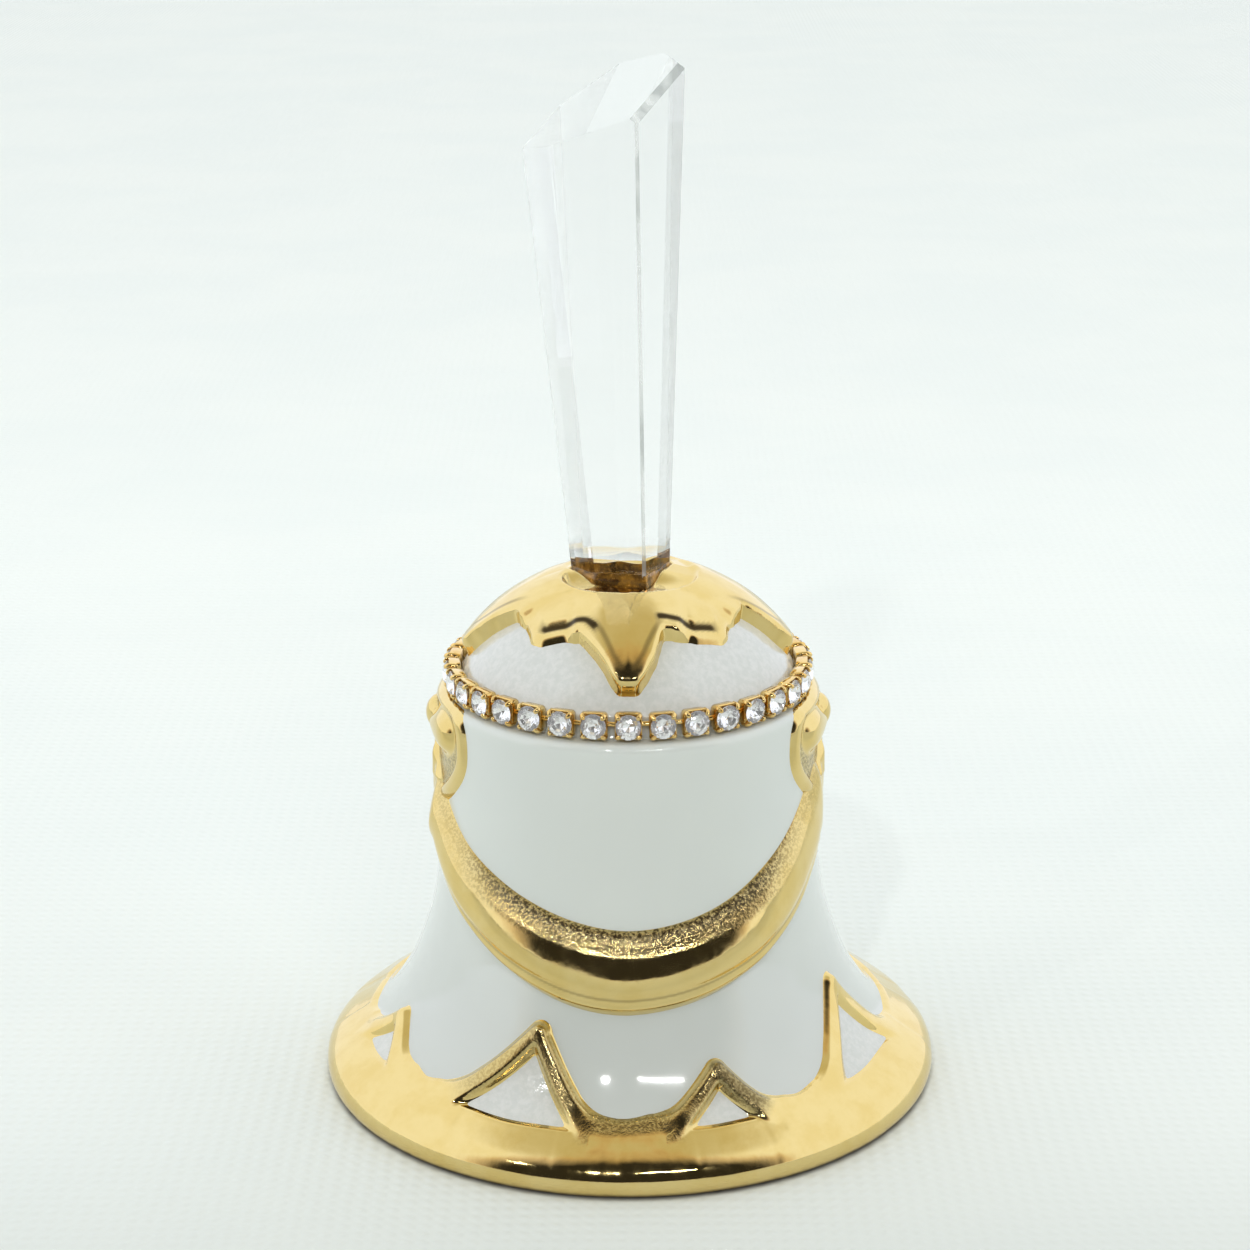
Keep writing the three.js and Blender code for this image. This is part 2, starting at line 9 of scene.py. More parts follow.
import bmesh
import bpy
import numpy as np
from mathutils import Matrix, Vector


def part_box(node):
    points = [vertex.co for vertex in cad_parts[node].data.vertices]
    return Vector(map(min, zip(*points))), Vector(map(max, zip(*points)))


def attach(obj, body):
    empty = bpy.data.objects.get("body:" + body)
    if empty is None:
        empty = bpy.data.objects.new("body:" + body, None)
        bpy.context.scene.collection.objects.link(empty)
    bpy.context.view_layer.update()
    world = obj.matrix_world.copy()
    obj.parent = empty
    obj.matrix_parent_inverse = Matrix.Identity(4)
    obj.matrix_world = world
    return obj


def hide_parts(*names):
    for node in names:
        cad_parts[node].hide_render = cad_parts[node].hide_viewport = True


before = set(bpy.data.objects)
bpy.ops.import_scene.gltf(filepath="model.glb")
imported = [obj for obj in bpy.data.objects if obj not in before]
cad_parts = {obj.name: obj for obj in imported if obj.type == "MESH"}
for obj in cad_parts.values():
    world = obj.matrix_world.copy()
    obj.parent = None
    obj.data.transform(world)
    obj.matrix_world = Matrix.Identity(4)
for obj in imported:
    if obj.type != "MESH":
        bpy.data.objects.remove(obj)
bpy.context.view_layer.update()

MM = 0.001

# ---- Driving dimensions (millimetres) ----

MOUTH_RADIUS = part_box("gilt_rim")[1].x / MM
FOOT_RADII = (34.6, 35.8)

# The lip, flare and waist of the bell, outside: (radius, height).
LIP = [
    (35.8, 0.0), (36.6, 0.16), (37.25, 0.55), (MOUTH_RADIUS, 1.2), (37.4, 2.1), (36.95, 3.0),
    (36.25, 3.78), (35.25, 4.55), (33.9, 5.45), (32.3, 6.6),
]
WAIST = [
    (30.65, 8.05), (28.5, 11), (26.9, 14), (25.4, 18), (24.2, 22), (23.4, 27), (22.95, 33),
    (22.75, 40), (22.7, 47),
]
WAIST_RADIUS = 22.7
SHOULDER_HEIGHT = 49.6
SHOULDER_ROUNDING = 1.0
CHAIN_WALL_RADIUS = 19.9
DOME_RADIUS = 23.3
DOME_CENTRE = 40.1
CROWN_HEIGHT = 61.6
VAULT_RADIUS = 19.3
VAULT_CENTRE = 38.6
INNER_WALL = [(19.8, 30), (20.4, 25), (21.8, 19), (24.0, 14), (27.2, 9), (31.0, 4.6), (33.6, 1.6)]

# Heights of the gilt band round the mouth: its top under the peaks and between them, the feet of
# the peaks in it, and the end of the grid that the whole relief is drawn on.
BAND_TOP = 6.2
VALLEY_HEIGHT = 7.1
PEAK_ROOT = BAND_TOP - 0.5
PEAKS_REACH = 17.2
# The peaks: (bearing of the apex, its height, bearings of the left and right foot).
PEAKS = [
    (-70.5, 10.0, -82, -57), (-23, 14.8, -43, -8), (20.5, 11.0, 7, 31), (65.3, 14.9, 46, 80),
    (144, 11.0, 129, 158), (181, 14.8, 163, 199), (218, 11.0, 204, 231),
]
# Width to either side of the crest of a peak's sides, and their lift, from foot (0) to apex (1).
LIMB_INNER_WIDTH = 1.2
LIMB_OUTER_WIDTHS = [(0, 2.5), (0.35, 1.65), (1, 1.2)]
LIMB_LIFTS = [(0, 0.1), (0.35, 0.7), (1, 0.9)]
# How sandy the sides of the front peaks are, and how much painted shade darkens them, by the bearing of their
# foot.
SANDY_SHADED_SIDES = {-43: 0.3, -8: 0.45, 7: 0.4, 31: 0.85}

# Steps of the relief grids: (degrees of bearing, millimetres along the flank).
RIM_GRID = (0.36, 0.2)
SWAG_GRID = (0.45, 0.17)
BOW_GRID = (0.42, 0.17)

# Section of a swag from its upper border (0) to its lower border (1): (share, lift).
SWAG_SECTION = [
    (0, 0), (0.015, 0.32), (0.05, 0.62), (0.15, 1.18), (0.25, 1.72), (0.31, 1.94), (0.43, 2.12),
    (0.56, 2.2), (0.68, 2.08), (0.76, 1.8), (0.81, 1.5), (0.83, 1.43), (0.87, 1.38), (0.92, 1.26),
    (0.96, 0.98), (0.988, 0.5), (1, 0),
]
# Where along the section the crease before the lip lies, which gets a painted dark line.
SWAG_CREASE = 0.825
SWAG_END_BEARING = 88.4
SWAG_HEIGHTS = (15.2, 43.0)

# Half of a bow's flange: (degrees from its middle, height). Half of its loops and of its tails:
# (distance from the middle, height over the knot).
BOW_KNOT_HEIGHT = 46.0
BOW_FLAT_TOP = 48.4
BOW_FOOT = 34.4
BOW_FLANGE = [
    (0, 50.4), (26, 50.4), (30.5, 49.3), (32.8, 47.6), (33.6, 45.4), (33.2, 43.4), (30.8, 41.4),
    (25.5, 39.2), (20, 37.6), (12, 36.0), (0, 35.2),
]
BOW_LOOP = [
    (0.4, 0.0), (3.2, 1.9), (7.5, 2.7), (10.2, 1.6), (10.6, -0.6), (8.6, -2.6), (4.6, -2.5), (0.4, 0.0),
]
BOW_TAIL = [
    (0.2, -0.8), (1.9, -2.6), (4.2, -4.9), (5.6, -7.3), (3.4, -7.7), (1.0, -8.9), (0.0, -6.4),
    (0.0, -3.0), (0.2, -0.8),
]

# Corners of the star over the dome: (bearing, distance from the axis). Half width of its long
# arms: (distance from the axis, half width).
STAR_CORNERS = [
    (-3.0, 18.3), (3.0, 18.3), (6.2, 17.5), (11.0, 16.0), (17.6, 13.2), (33, 14.5), (46, 15.3),
    (51, 15.0), (56, 14.2), (75, 13.6), (83, 17.5), (87, 19.0), (93, 19.0), (97, 17.5), (106, 13.8),
    (130, 15.0), (136, 15.4), (142, 15.0), (161, 13.6), (169, 16.4), (176.4, 18.6), (183.6, 18.6),
    (191, 16.4), (199, 13.6), (219, 15.0), (226, 15.4), (231, 15.0), (254, 13.8), (263, 17.5),
    (267, 19.0), (273, 19.0), (277, 17.5), (290, 13.6), (306, 14.4), (312, 15.2), (318, 15.2),
    (336.5, 13.7), (349.2, 16.0), (353.8, 17.5),
]
STAR_ARM = [
    (0, 6.8), (6, 6.0), (9, 4.9), (11, 3.8), (12, 3.2), (14, 2.2), (15.5, 1.5), (16.5, 0.8), (17.3, -0.2),
]
STAR_REACH = 20.3
FLANGE_LIFT = 0.72
STAR_LIFT = 1.15
SEAT_FLOOR = 62.4
SEAT_RIM = 63.9
SEAT_CLEARANCE = 0.35
SEAT_FRONT_DROP = 1.3

# The crystal: (bearing of a facet's normal from +X, its distance from the axis at the foot and
# at the gauge height). The oblique top is z = height + slope x + slope y.
HANDLE_FOOT = 63.15
GAUGE_FOOT = 62.8
GAUGE_TOP = 118.0
HANDLE_FACETS = [
    (152.3, 5.85, 9.25), (226.9, 4.55, 10.65), (254.8, 3.6, 8.35), (333.2, 3.75, 5.2),
    (376.1, 5.25, 6.85), (417.2, 5.0, 8.05), (483.2, 5.0, 8.7),
]
HANDLE_TOP = (120.5, 0.441, 0.223)
HANDLE_BEVEL = 0.12
HANDLE_SIDE_BEVEL = 0.32
HANDLE_TOP_BEVEL = 0.9
FRONT_EDGE = 2
# Heights between which the crystal's opacity falls from 1 to a half, going up.
THIN_ABOVE = (65.5, 68.0)

STONE_COUNT = 34
STONE_RADIUS = 1.5
STONE_SEAT = 1.3
CHAIN_HEIGHT = 51.56
CHAIN_BACK_RADIUS = 20.2
# Rings of one square cup: (distance from its back, half width, rounding of the corners).
CUP_RINGS = [
    (0.0, 0.3, 0.12), (0.0, 1.3, 0.4), (0.12, 1.44, 0.5), (0.7, 1.54, 0.58), (1.3, 1.58, 0.6),
    (1.38, 1.54, 0.58), (1.38, 1.42, 0.5), (1.3, 1.36, 0.48), (0.75, 1.28, 0.4), (0.7, 0.3, 0.12),
]
# Course of a prong over a corner of the stone: (distance from the cup's back, offset in Y and Z).
PRONG = [(0.8, 1.32), (1.2, 1.34), (1.5, 1.33), (1.72, 1.26), (1.86, 1.14), (1.92, 1.02), (1.93, 0.95)]

# The clapper: height, thickness and radius of the eye's plate, then heights and radii.
EYE_PLATE = (54.7, 0.9, 4.2)
EYE_HEIGHT = 51.4
EYE_RADIUS = 2.2
EYE_WIRE = 0.6
LINK_LOW_HEIGHT = 49.0
# Radius of the bends of the link and of the rod's eye.
RING_RADIUS = 1.6
LINK_WIRE = 0.5
ROD_EYE_HEIGHT = 47.4
ROD_EYE_WIRE = 0.55
ROD_RADIUS = 0.9
ROD_FOOT = 6.4
THREAD_PITCH = 0.25
BALL_HEIGHT = 13.4
BALL_RADIUS = 5.5
BALL_BORE = 1.0
NUT_RADIUS = 1.9
NUT_HEIGHT = 1.3

# The camera, with its angles in radians, and the point that the lamps are aimed at.
CAMERA_DISTANCE = 343.2
CAMERA_HEIGHT = 167.1
CAMERA_PITCH = 0.3108
CAMERA_YAW = -0.00104
CAMERA_ROLL = -0.00456
SENSOR_WIDTH = 36.0
LENS = SENSOR_WIDTH * 2.4
AIM_HEIGHT = 45.0
FLOOR_WIDTH = 8000


# ---- Arithmetic ----

def smoothstep(low, high, value):
    """0 at low and 1 at high, with an eased course between them."""
    share = np.clip((np.asarray(value, float) - low) / (high - low), 0, 1)
    return share * share * (3 - 2 * share)


def smooth_max(first, second, reach):
    """The larger of two values, rounded off where they are within reach of each other."""
    overlap = np.clip(1 - np.abs(first - second) / reach, 0, 1)
    return np.maximum(first, second) + reach / 4 * overlap ** 2


def bump(distance, half_width, flatness=2):
    """A rounded ridge: 1 in the middle, 0 at half_width and beyond."""
    share = np.clip(np.abs(distance) / half_width, 0, 1)
    return (1 - share ** flatness) ** 0.75


def rounded_edge(depth, width):
    """0 at an edge, rising in a quarter round to 1 at a depth of width."""
    return 1 - (1 - np.clip(depth / width, 0, 1)) ** 2


def turned_from(bearing, middle):
    """A bearing measured from another, between -180 and 180."""
    return (bearing - middle + 180) % 360 - 180


def spline(points, spacing):
    """A smooth curve through points (centripetal Catmull-Rom), as evenly spaced points."""
    points = np.asarray(points, float)
    ends = np.vstack([2 * points[0] - points[1], points, 2 * points[-1] - points[-2]])
    curve = []
    for p0, p1, p2, p3 in zip(ends, ends[1:], ends[2:], ends[3:]):
        k1, k2, k3 = (max(np.linalg.norm(b - a), 1e-9) ** 0.5 for a, b in ((p0, p1), (p1, p2), (p2, p3)))
        t = np.linspace(0, k2, 24, endpoint=False)[:, None]
        a1 = p0 + (p1 - p0) * (t + k1) / k1
        a2 = p1 + (p2 - p1) * t / k2
        a3 = p2 + (p3 - p2) * (t - k2) / k3
        b1 = a1 + (a2 - a1) * (t + k1) / (k1 + k2)
        b2 = a2 + (a3 - a2) * t / (k2 + k3)
        curve.append(b1 + (b2 - b1) * t / k2)
    return evenly(np.vstack(curve + [points[-1:]]), spacing)


def evenly(points, spacing):
    """Points at even steps along a line of points."""
    points = np.asarray(points, float)
    along = np.concatenate([[0], np.cumsum(np.linalg.norm(np.diff(points, axis=0), axis=1))])
    steps = np.linspace(0, along[-1], max(int(round(along[-1] / spacing)), 1) + 1)
    return np.stack([np.interp(steps, along, column) for column in points.T], -1)


def arc(centre, radius, start, end, steps=12):
    """Points of an arc round centre, between two angles in degrees."""
    angles = np.radians(np.linspace(start, end, steps + 1))
    return [(centre[0] + radius * math.cos(a), centre[1] + radius * math.sin(a)) for a in angles]


def near_line(points, line):
    """Distance from each point (..., n) to a line of points, and where along it (0 to 1)."""
    nearest = np.full(points.shape[:-1], np.inf)
    where = np.zeros(points.shape[:-1])
    for step, (start, end) in enumerate(zip(line, line[1:])):
        span = end - start
        share = np.clip(((points - start) @ span) / max(span @ span, 1e-12), 0, 1)
        distance = np.linalg.norm(points - start - share[..., None] * span, axis=-1)
        closer = distance < nearest
        nearest = np.where(closer, distance, nearest)
        where = np.where(closer, (step + share) / (len(line) - 1), where)
    return nearest, where


def softened(grid, passes, wrap=False):
    """A grid of values with its creases rounded off."""
    for _ in range(passes):
        wide = np.pad(grid, ((0, 0), (1, 1)), mode="edge")
        grid = (wide[:, :-2] + 2 * grid + wide[:, 2:]) / 4
        tall = np.pad(grid, ((1, 1), (0, 0)), mode="wrap" if wrap else "edge")
        grid = (tall[:-2] + 2 * grid + tall[2:]) / 4
    return grid


def inside_depth(points, outline):
    """Distance from each flat point to a closed outline, positive inside it."""
    outline = np.asarray(outline, float)
    inside = np.zeros(points.shape[:-1], bool)
    x, y = points[..., 0], points[..., 1]
    for (x1, y1), (x2, y2) in zip(outline, np.roll(outline, -1, axis=0)):
        rise = y2 - y1 if y2 != y1 else 1e-12
        inside ^= ((y1 > y) != (y2 > y)) & (x < (x2 - x1) * (y - y1) / rise + x1)
    distance, _ = near_line(points, np.vstack([outline, outline[:1]]))
    return np.where(inside, distance, -distance)


def rows_of_waves(first, second, seed):
    """Slow, repeatable unevenness between -1 and 1 over two coordinates, as of a hand-made shape."""
    draws = np.random.default_rng(seed)
    total = np.zeros(np.broadcast(first, second).shape)
    for _ in range(6):
        a, b = draws.normal(0, 1, 2)
        total = total + np.sin(a * first + b * second + draws.uniform(0, 2 * math.pi))
    return total / 4


def round_about(points, angle):
    """Points turned about Z by an angle in radians."""
    cos, sin = math.cos(angle), math.sin(angle)
    x, y, z = np.moveaxis(np.asarray(points, float), -1, 0)
    return np.stack([cos * x - sin * y, sin * x + cos * y, z], -1)


def upright_ring(flat, height):
    """Flat points (..., 2) at a height or at heights of their own."""
    return np.concatenate([flat, np.broadcast_to(height, flat.shape[:-1])[..., None]], -1)


# ---- Mesh building ----

def placed(name, data):
    """An object of this data, in the scene."""
    piece = bpy.data.objects.new(name, data)
    bpy.context.scene.collection.objects.link(piece)
    return piece


def mesh_piece(name, points, faces, sharp=None):
    """An object from points in millimetres. faces is a list of arrays, each of one size of face."""
    faces = [np.asarray(group, np.int32) for group in faces if len(group)]
    mesh = bpy.data.meshes.new(name)
    points = np.asarray(points, float) * MM
    mesh.vertices.add(len(points))
    mesh.vertices.foreach_set("co", points.astype(np.float32).ravel())
    sizes = np.concatenate([np.full(len(group), group.shape[1], np.int32) for group in faces])
    mesh.loops.add(int(sizes.sum()))
    mesh.loops.foreach_set("vertex_index", np.concatenate([group.ravel() for group in faces]))
    mesh.polygons.add(len(sizes))
    mesh.polygons.foreach_set("loop_start", np.concatenate([[0], np.cumsum(sizes)[:-1]]).astype(np.int32))
    mesh.update(calc_edges=True)
    mesh.validate()
    mesh.shade_smooth()
    if sharp:
        mesh.set_sharp_from_angle(angle=math.radians(sharp))
    return placed(name, mesh)


def flat_mesh(mesh, build):
    """Fills a mesh from a bmesh, its faces flat and turned outwards."""
    bmesh.ops.recalc_face_normals(build, faces=build.faces[:])
    build.to_mesh(mesh)
    build.free()
    mesh.shade_flat()
    return mesh


def dress(piece, body, slot, node, *materials):
    """Gives a piece its body and its materials, and hides the CAD node it stands for. slot is not used."""
    for material in materials:
        piece.data.materials.append(material)
    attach(piece, body)
    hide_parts(node)
    return piece


def mark(piece, name, values):
    """Writes a value for each vertex, which a material reads by its name."""
    attribute = piece.data.attributes.new(name, "FLOAT", "POINT")
    attribute.data.foreach_set("value", values.astype(np.float32))


def sheet_faces(top, bottom, keep, wrap):
    """Points and faces of a closed sheet over a grid, and which grid points it uses.

    keep says which cells of the grid are there.
    """
    rows, columns = top.shape[:2]
    index = np.arange(rows * columns).reshape(rows, columns)
    ahead = np.roll(index, -1, axis=0)
    cells = rows if wrap else rows - 1
    a, b = index[:cells, :-1], ahead[:cells, :-1]
    c, d = ahead[:cells, 1:], index[:cells, 1:]
    under = rows * columns
    quads = [np.stack([a, b, c, d], -1)[keep], np.stack([a, d, c, b], -1)[keep] + under]
    empty_row = np.zeros((1, keep.shape[1]), bool)
    before = np.roll(keep, 1, axis=0) if wrap else np.vstack([empty_row, keep[:-1]])
    after = np.roll(keep, -1, axis=0) if wrap else np.vstack([keep[1:], empty_row])
    empty_column = np.zeros((cells, 1), bool)
    left, right = np.hstack([empty_column, keep[:, :-1]]), np.hstack([keep[:, 1:], empty_column])
    for start, end, neighbour in ((a, b, left), (b, c, after), (c, d, right), (d, a, before)):
        edge = keep & ~neighbour
        quads.append(np.stack([end, start, start + under, end + under], -1)[edge])
    quads = np.vstack(quads)
    points = np.vstack([top.reshape(-1, 3), bottom.reshape(-1, 3)])
    used, renumbered = np.unique(quads, return_inverse=True)
    return points[used], renumbered.reshape(quads.shape), used


def relief(name, top, bottom, lift, wrap=False, least=-0.15, **marks):
    """A closed relief over a grid, kept where its lift over the glaze is above least.

    Each mark is a grid of values that the gilding reads: grain makes it sandy, the other mark darkens it as
    painted shade.
    """
    shown = lift > least
    ahead = np.roll(shown, -1, axis=0)
    corners = shown[:, :-1] | shown[:, 1:] | ahead[:, :-1] | ahead[:, 1:]
    keep = corners if wrap else corners[:-1]
    points, quads, used = sheet_faces(top, bottom, keep, wrap)
    piece = mesh_piece(name, points, [quads])
    for kind, grid in marks.items():
        mark(piece, kind, np.concatenate([grid.ravel(), np.zeros(grid.size)])[used])
    return piece


def turned_mesh(profile, segments):
    """Points and faces of a piece turned about Z. The profile runs down inside and up outside."""
    profile = np.asarray(profile, float)
    angles = np.arange(segments) * 2 * math.pi / segments
    rings = profile[profile[:, 0] > 1e-6]
    points = np.stack([
        rings[:, :1] * np.sin(angles), -rings[:, :1] * np.cos(angles), rings[:, 1:] + 0 * angles], -1)
    index = np.arange(len(rings) * segments).reshape(len(rings), segments)
    ahead = np.roll(index, -1, axis=1)
    quads = np.stack([index[:-1], ahead[:-1], ahead[1:], index[1:]], -1).reshape(-1, 4)
    points = points.reshape(-1, 3)
    triangles = []
    for end, first, second in ((0, ahead, index), (-1, index, ahead)):
        if profile[end, 0] < 1e-6:
            triangles.append(np.stack([np.full(segments, len(points)), first[end], second[end]], -1))
            points = np.vstack([points, [[0, 0, profile[end, 1]]]])
    if not triangles:
        quads = np.vstack([quads, np.stack([index[-1], ahead[-1], ahead[0], index[0]], -1)])
        return points, [quads]
    return points, [quads, np.vstack(triangles)]


def loft(sections, closed=False):
    """Points and faces through sections with the same number of corners. Open lofts get end caps."""
    sections = np.asarray(sections, float)
    rows, corners = sections.shape[:2]
    index = np.arange(rows * corners).reshape(rows, corners)
    ahead = np.roll(index, -1, axis=1)
    following = np.roll(index, -1, axis=0), np.roll(ahead, -1, axis=0)
    span = rows if closed else rows - 1
    quads = np.stack([index, ahead, following[1], following[0]], -1)[:span].reshape(-1, 4)
    faces = [quads]
    if not closed:
        faces.append(np.stack([index[0][::-1], index[-1]]))
    return sections.reshape(-1, 3), faces


def tube(path, radii, closed=False, sides=16):
    """A round wire along a path that lies in a plane."""
    path = np.asarray(path, float)
    radii = np.broadcast_to(radii, len(path))
    if closed:
        along = np.roll(path, -1, axis=0) - np.roll(path, 1, axis=0)
    else:
        along = np.gradient(path, axis=0)
    along /= np.linalg.norm(along, axis=1)[:, None]
    plane = np.linalg.svd(path - path.mean(0))[2][2]
    turn = np.arange(sides) * 2 * math.pi / sides
    sections = []
    for place, direction, radius in zip(path, along, radii):
        side = np.cross(plane, direction)
        side /= np.linalg.norm(side)
        other = np.cross(direction, side)
        sections.append(place + radius * (np.outer(np.cos(turn), side) + np.outer(np.sin(turn), other)))
    return loft(sections, closed)


def joined(parts):
    """One set of points and faces from several."""
    points, groups, count = [], {}, 0
    for part_points, part_faces in parts:
        points.append(part_points)
        for group in part_faces:
            groups.setdefault(group.shape[1], []).append(np.asarray(group) + count)
        count += len(part_points)
    return np.vstack(points), [np.vstack(groups[size]) for size in sorted(groups)]


# ---- The bell's outside, as the base that all relief lies on ----

FLANK_STEP = 0.05
SHOULDER_ARC = arc(
    (WAIST_RADIUS - SHOULDER_ROUNDING, SHOULDER_HEIGHT - SHOULDER_ROUNDING), SHOULDER_ROUNDING, 0, 90)
FLANK = evenly(np.vstack([spline(LIP + WAIST + [(WAIST_RADIUS, 48.4)], 0.02), SHOULDER_ARC]), FLANK_STEP)
FLANK_SLOPE = np.gradient(FLANK, axis=0)
FLANK_SLOPE /= np.linalg.norm(FLANK_SLOPE, axis=1)[:, None]
FLANK_ALONG = np.arange(len(FLANK)) * FLANK_STEP
WIDEST = int(np.argmax(FLANK[:, 0]))


def along_at(height):
    """Distance along the flank, from the foot, at a height above the lip's widest point."""
    return np.interp(height, FLANK[WIDEST:, 1], FLANK_ALONG[WIDEST:])


def height_at(along):
    """Height at a distance along the flank."""
    return np.interp(along, FLANK_ALONG, FLANK[:, 1])


def over_flank(bearing, along, lift=0.0):
    """Points over the flank at bearings in degrees and distances along it, lifted off the glaze."""
    bearing, along, lift = np.broadcast_arrays(np.radians(bearing), along, lift)
    radius, height, run, rise = (
        np.interp(along, FLANK_ALONG, column) for column in (*FLANK.T, *FLANK_SLOPE.T))
    radius = radius + lift * rise
    return np.stack([radius * np.sin(bearing), -radius * np.cos(bearing), height - lift * run], -1)


def flank_line(corners):
    """A line over the flank through (bearing, height) corners."""
    corners = np.asarray(corners, float)
    return over_flank(corners[:, 0], along_at(corners[:, 1]))


def flank_relief(name, node, facing, gold, bearings, along, lift, **marks):
    """A gilt relief over part of the flank, turned to face a bearing in degrees."""
    top = over_flank(bearings, along, lift)
    bottom = over_flank(bearings, along + 0 * lift, -0.3)
    top, bottom = (round_about(grid, math.radians(facing)) for grid in (top, bottom))
    piece = relief(name, top, bottom, lift, least=-0.12, **marks)
    return dress(piece, "bell", "gilding", node, gold)


# ---- Porcelain ----

def porcelain_body(glaze):
    """The fine-turned bell. It is drawn in a little where the gilt band covers it."""
    outside = FLANK[::8].copy()
    hidden = (FLANK_ALONG < along_at(BAND_TOP - 1.0))[::8]
    normals = np.stack([FLANK_SLOPE[::8, 1], -FLANK_SLOPE[::8, 0]], -1)
    outside[hidden] -= 0.22 * normals[hidden]
    outside[:, 1] = np.maximum(outside[:, 1], 0)
    dome_start = math.degrees(math.acos(CHAIN_WALL_RADIUS / DOME_RADIUS))
    crown_edge = math.degrees(math.asin((CROWN_HEIGHT - DOME_CENTRE) / DOME_RADIUS))
    top = [
        (CHAIN_WALL_RADIUS + 0.35, SHOULDER_HEIGHT), (CHAIN_WALL_RADIUS + 0.1, SHOULDER_HEIGHT + 0.1),
        (CHAIN_WALL_RADIUS, SHOULDER_HEIGHT + 0.35),
        *arc((0, DOME_CENTRE), DOME_RADIUS, dome_start - 0.4, crown_edge, 60), (0, CROWN_HEIGHT)]
    vault = arc((0, VAULT_CENTRE), VAULT_RADIUS, 90, 0, 40)
    vault[0] = (0, VAULT_CENTRE + VAULT_RADIUS)
    inside = spline(vault[-6:] + INNER_WALL, 0.6)
    inner, outer = FOOT_RADII
    foot = [(inner - 0.35, 0.7), (inner - 0.05, 0.15), (inner + 0.25, 0)]
    profile = np.vstack([vault[:-6], inside, foot, [(outer - 0.4, 0)], outside[1:], top])
    piece = mesh_piece("porcelain_body", *turned_mesh(profile, 360))
    mark(piece, "pearly", pearly_places(piece))
    return dress(piece, "bell", "porcelain", "bell_shell", glaze)


def pearly_places(piece):
    """1 at the dome and in the fields under the peaks, where the glaze is pearly, and 0 elsewhere."""
    places = np.zeros(len(piece.data.vertices) * 3)
    piece.data.vertices.foreach_get("co", places)
    x, y, z = places.reshape(-1, 3).T / MM
    outer = np.hypot(x, y) > np.interp(z, [0, 5, 17], [37, 31.5, 24])
    pearly = (z > SHOULDER_HEIGHT + 0.2).astype(float)
    for peak in PEAKS:
        pearly = np.maximum(pearly, under_peak(peak, np.degrees(np.arctan2(x, -y)), z) & outer)
    return pearly


# ---- Gilded relief on the flank ----

def peak_side(top, share):
    """Height of a peak's side, from its foot (0) to its apex (1)."""
    return PEAK_ROOT + (top - BAND_TOP + 0.5) * share ** 1.3


def under_peak(peak, bearing, height):
    """Whether places on the flank lie under a peak, inside the lines of its two sides."""
    apex, top, left, right = peak
    turn = turned_from(bearing, apex)
    share = np.where(turn < 0, 1 + turn / (apex - left), 1 - turn / (right - apex))
    return (share > 0) & (height < peak_side(top, np.clip(share, 0, 1)))


def limb_line(apex, top, foot):
    """The crest of one side of a peak, from its foot in the band up to the apex."""
    share = np.linspace(0, 1, 14)
    return flank_line(np.stack([foot + (apex - foot) * share, peak_side(top, share)], -1))


def gilt_rim(gold):
    """The gilt band over the lip with the range of peaks above it."""
    bearings = np.arange(0, 360, RIM_GRID[0])[:, None]
    reach = along_at(PEAKS_REACH)
    along = np.linspace(0.0, reach, int(reach / RIM_GRID[1]))[None, :]
    base = over_flank(bearings, along)
    height = height_at(along) + 0 * bearings
    limb = np.full(height.shape, -9.0)
    crest, sandy_shade, under = np.zeros(height.shape), np.zeros(height.shape), np.zeros(height.shape, bool)
    for peak in PEAKS:
        apex, top, left, right = peak
        inner = under_peak(peak, bearings, height)
        under |= inner
        flatter = 0.5 if 45 < abs(apex) < 90 else 1
        for foot in (left, right):
            near = np.abs(turned_from(bearings[:, 0], (apex + foot) / 2)) < 28
            distance, share = near_line(base[near], limb_line(apex, top, foot))
            outer_width = np.interp(share, *zip(*LIMB_OUTER_WIDTHS)) * (1 + 0.07 * math.sin(apex * 3 + foot))
            width = np.where(inner[near], LIMB_INNER_WIDTH, outer_width)
            limb[near] = np.maximum(limb[near], width - distance)
            rise = bump(distance, width, 3.6) * np.interp(share, *zip(*LIMB_LIFTS)) * flatter
            crest[near] = smooth_max(crest[near], rise, 0.25)
            # The sides of the front peaks are sandy, and also darkened with painted shade.
            sandy_shade_here = SANDY_SHADED_SIDES.get(foot, 0) * bump(distance, width, 4) * smoothstep(0.1, 0.4, share)
            sandy_shade[near] = np.maximum(sandy_shade[near], sandy_shade_here)
    waver = 0.12 * np.sin(np.radians(bearings * 7)) + 0.1 * np.sin(np.radians(bearings * 17))
    band_depth = np.where(under, along_at(BAND_TOP), along_at(VALLEY_HEIGHT)) + waver - along
    depth = smooth_max(limb, band_depth, np.where(under, 0.3, 2.4))
    edge = np.clip(depth / 0.6, -1, 1)
    body = np.where(edge > 0, 1 - (1 - edge) ** 2, edge)
    low_lip = smoothstep(1.0, 4.5, along)
    lift = body * (0.1 + 0.25 * low_lip) + crest
    lift = lift + 0.05 * rows_of_waves(bearings / 9, along / 3, 3) * low_lip * np.clip(edge, 0, 1)
    lift = softened(lift, 2, wrap=True)
    in_front = smoothstep(12, 6, np.abs(turned_from(bearings, 0)))
    grain = np.maximum(0.6 * in_front * smoothstep(1.9, 0.9, np.abs(band_depth - 0.5)), sandy_shade)
    top = over_flank(bearings, along, np.maximum(lift, -0.35))
    bottom = over_flank(bearings, along + 0 * lift, -0.45)
    bottom[..., 2] = np.maximum(bottom[..., 2], 0.05)
    piece = relief("gilt_rim_relief", top, bottom, lift, wrap=True, grain=grain, recess=0.6 * sandy_shade)
    return dress(piece, "bell", "gilding", "gilt_rim", gold)


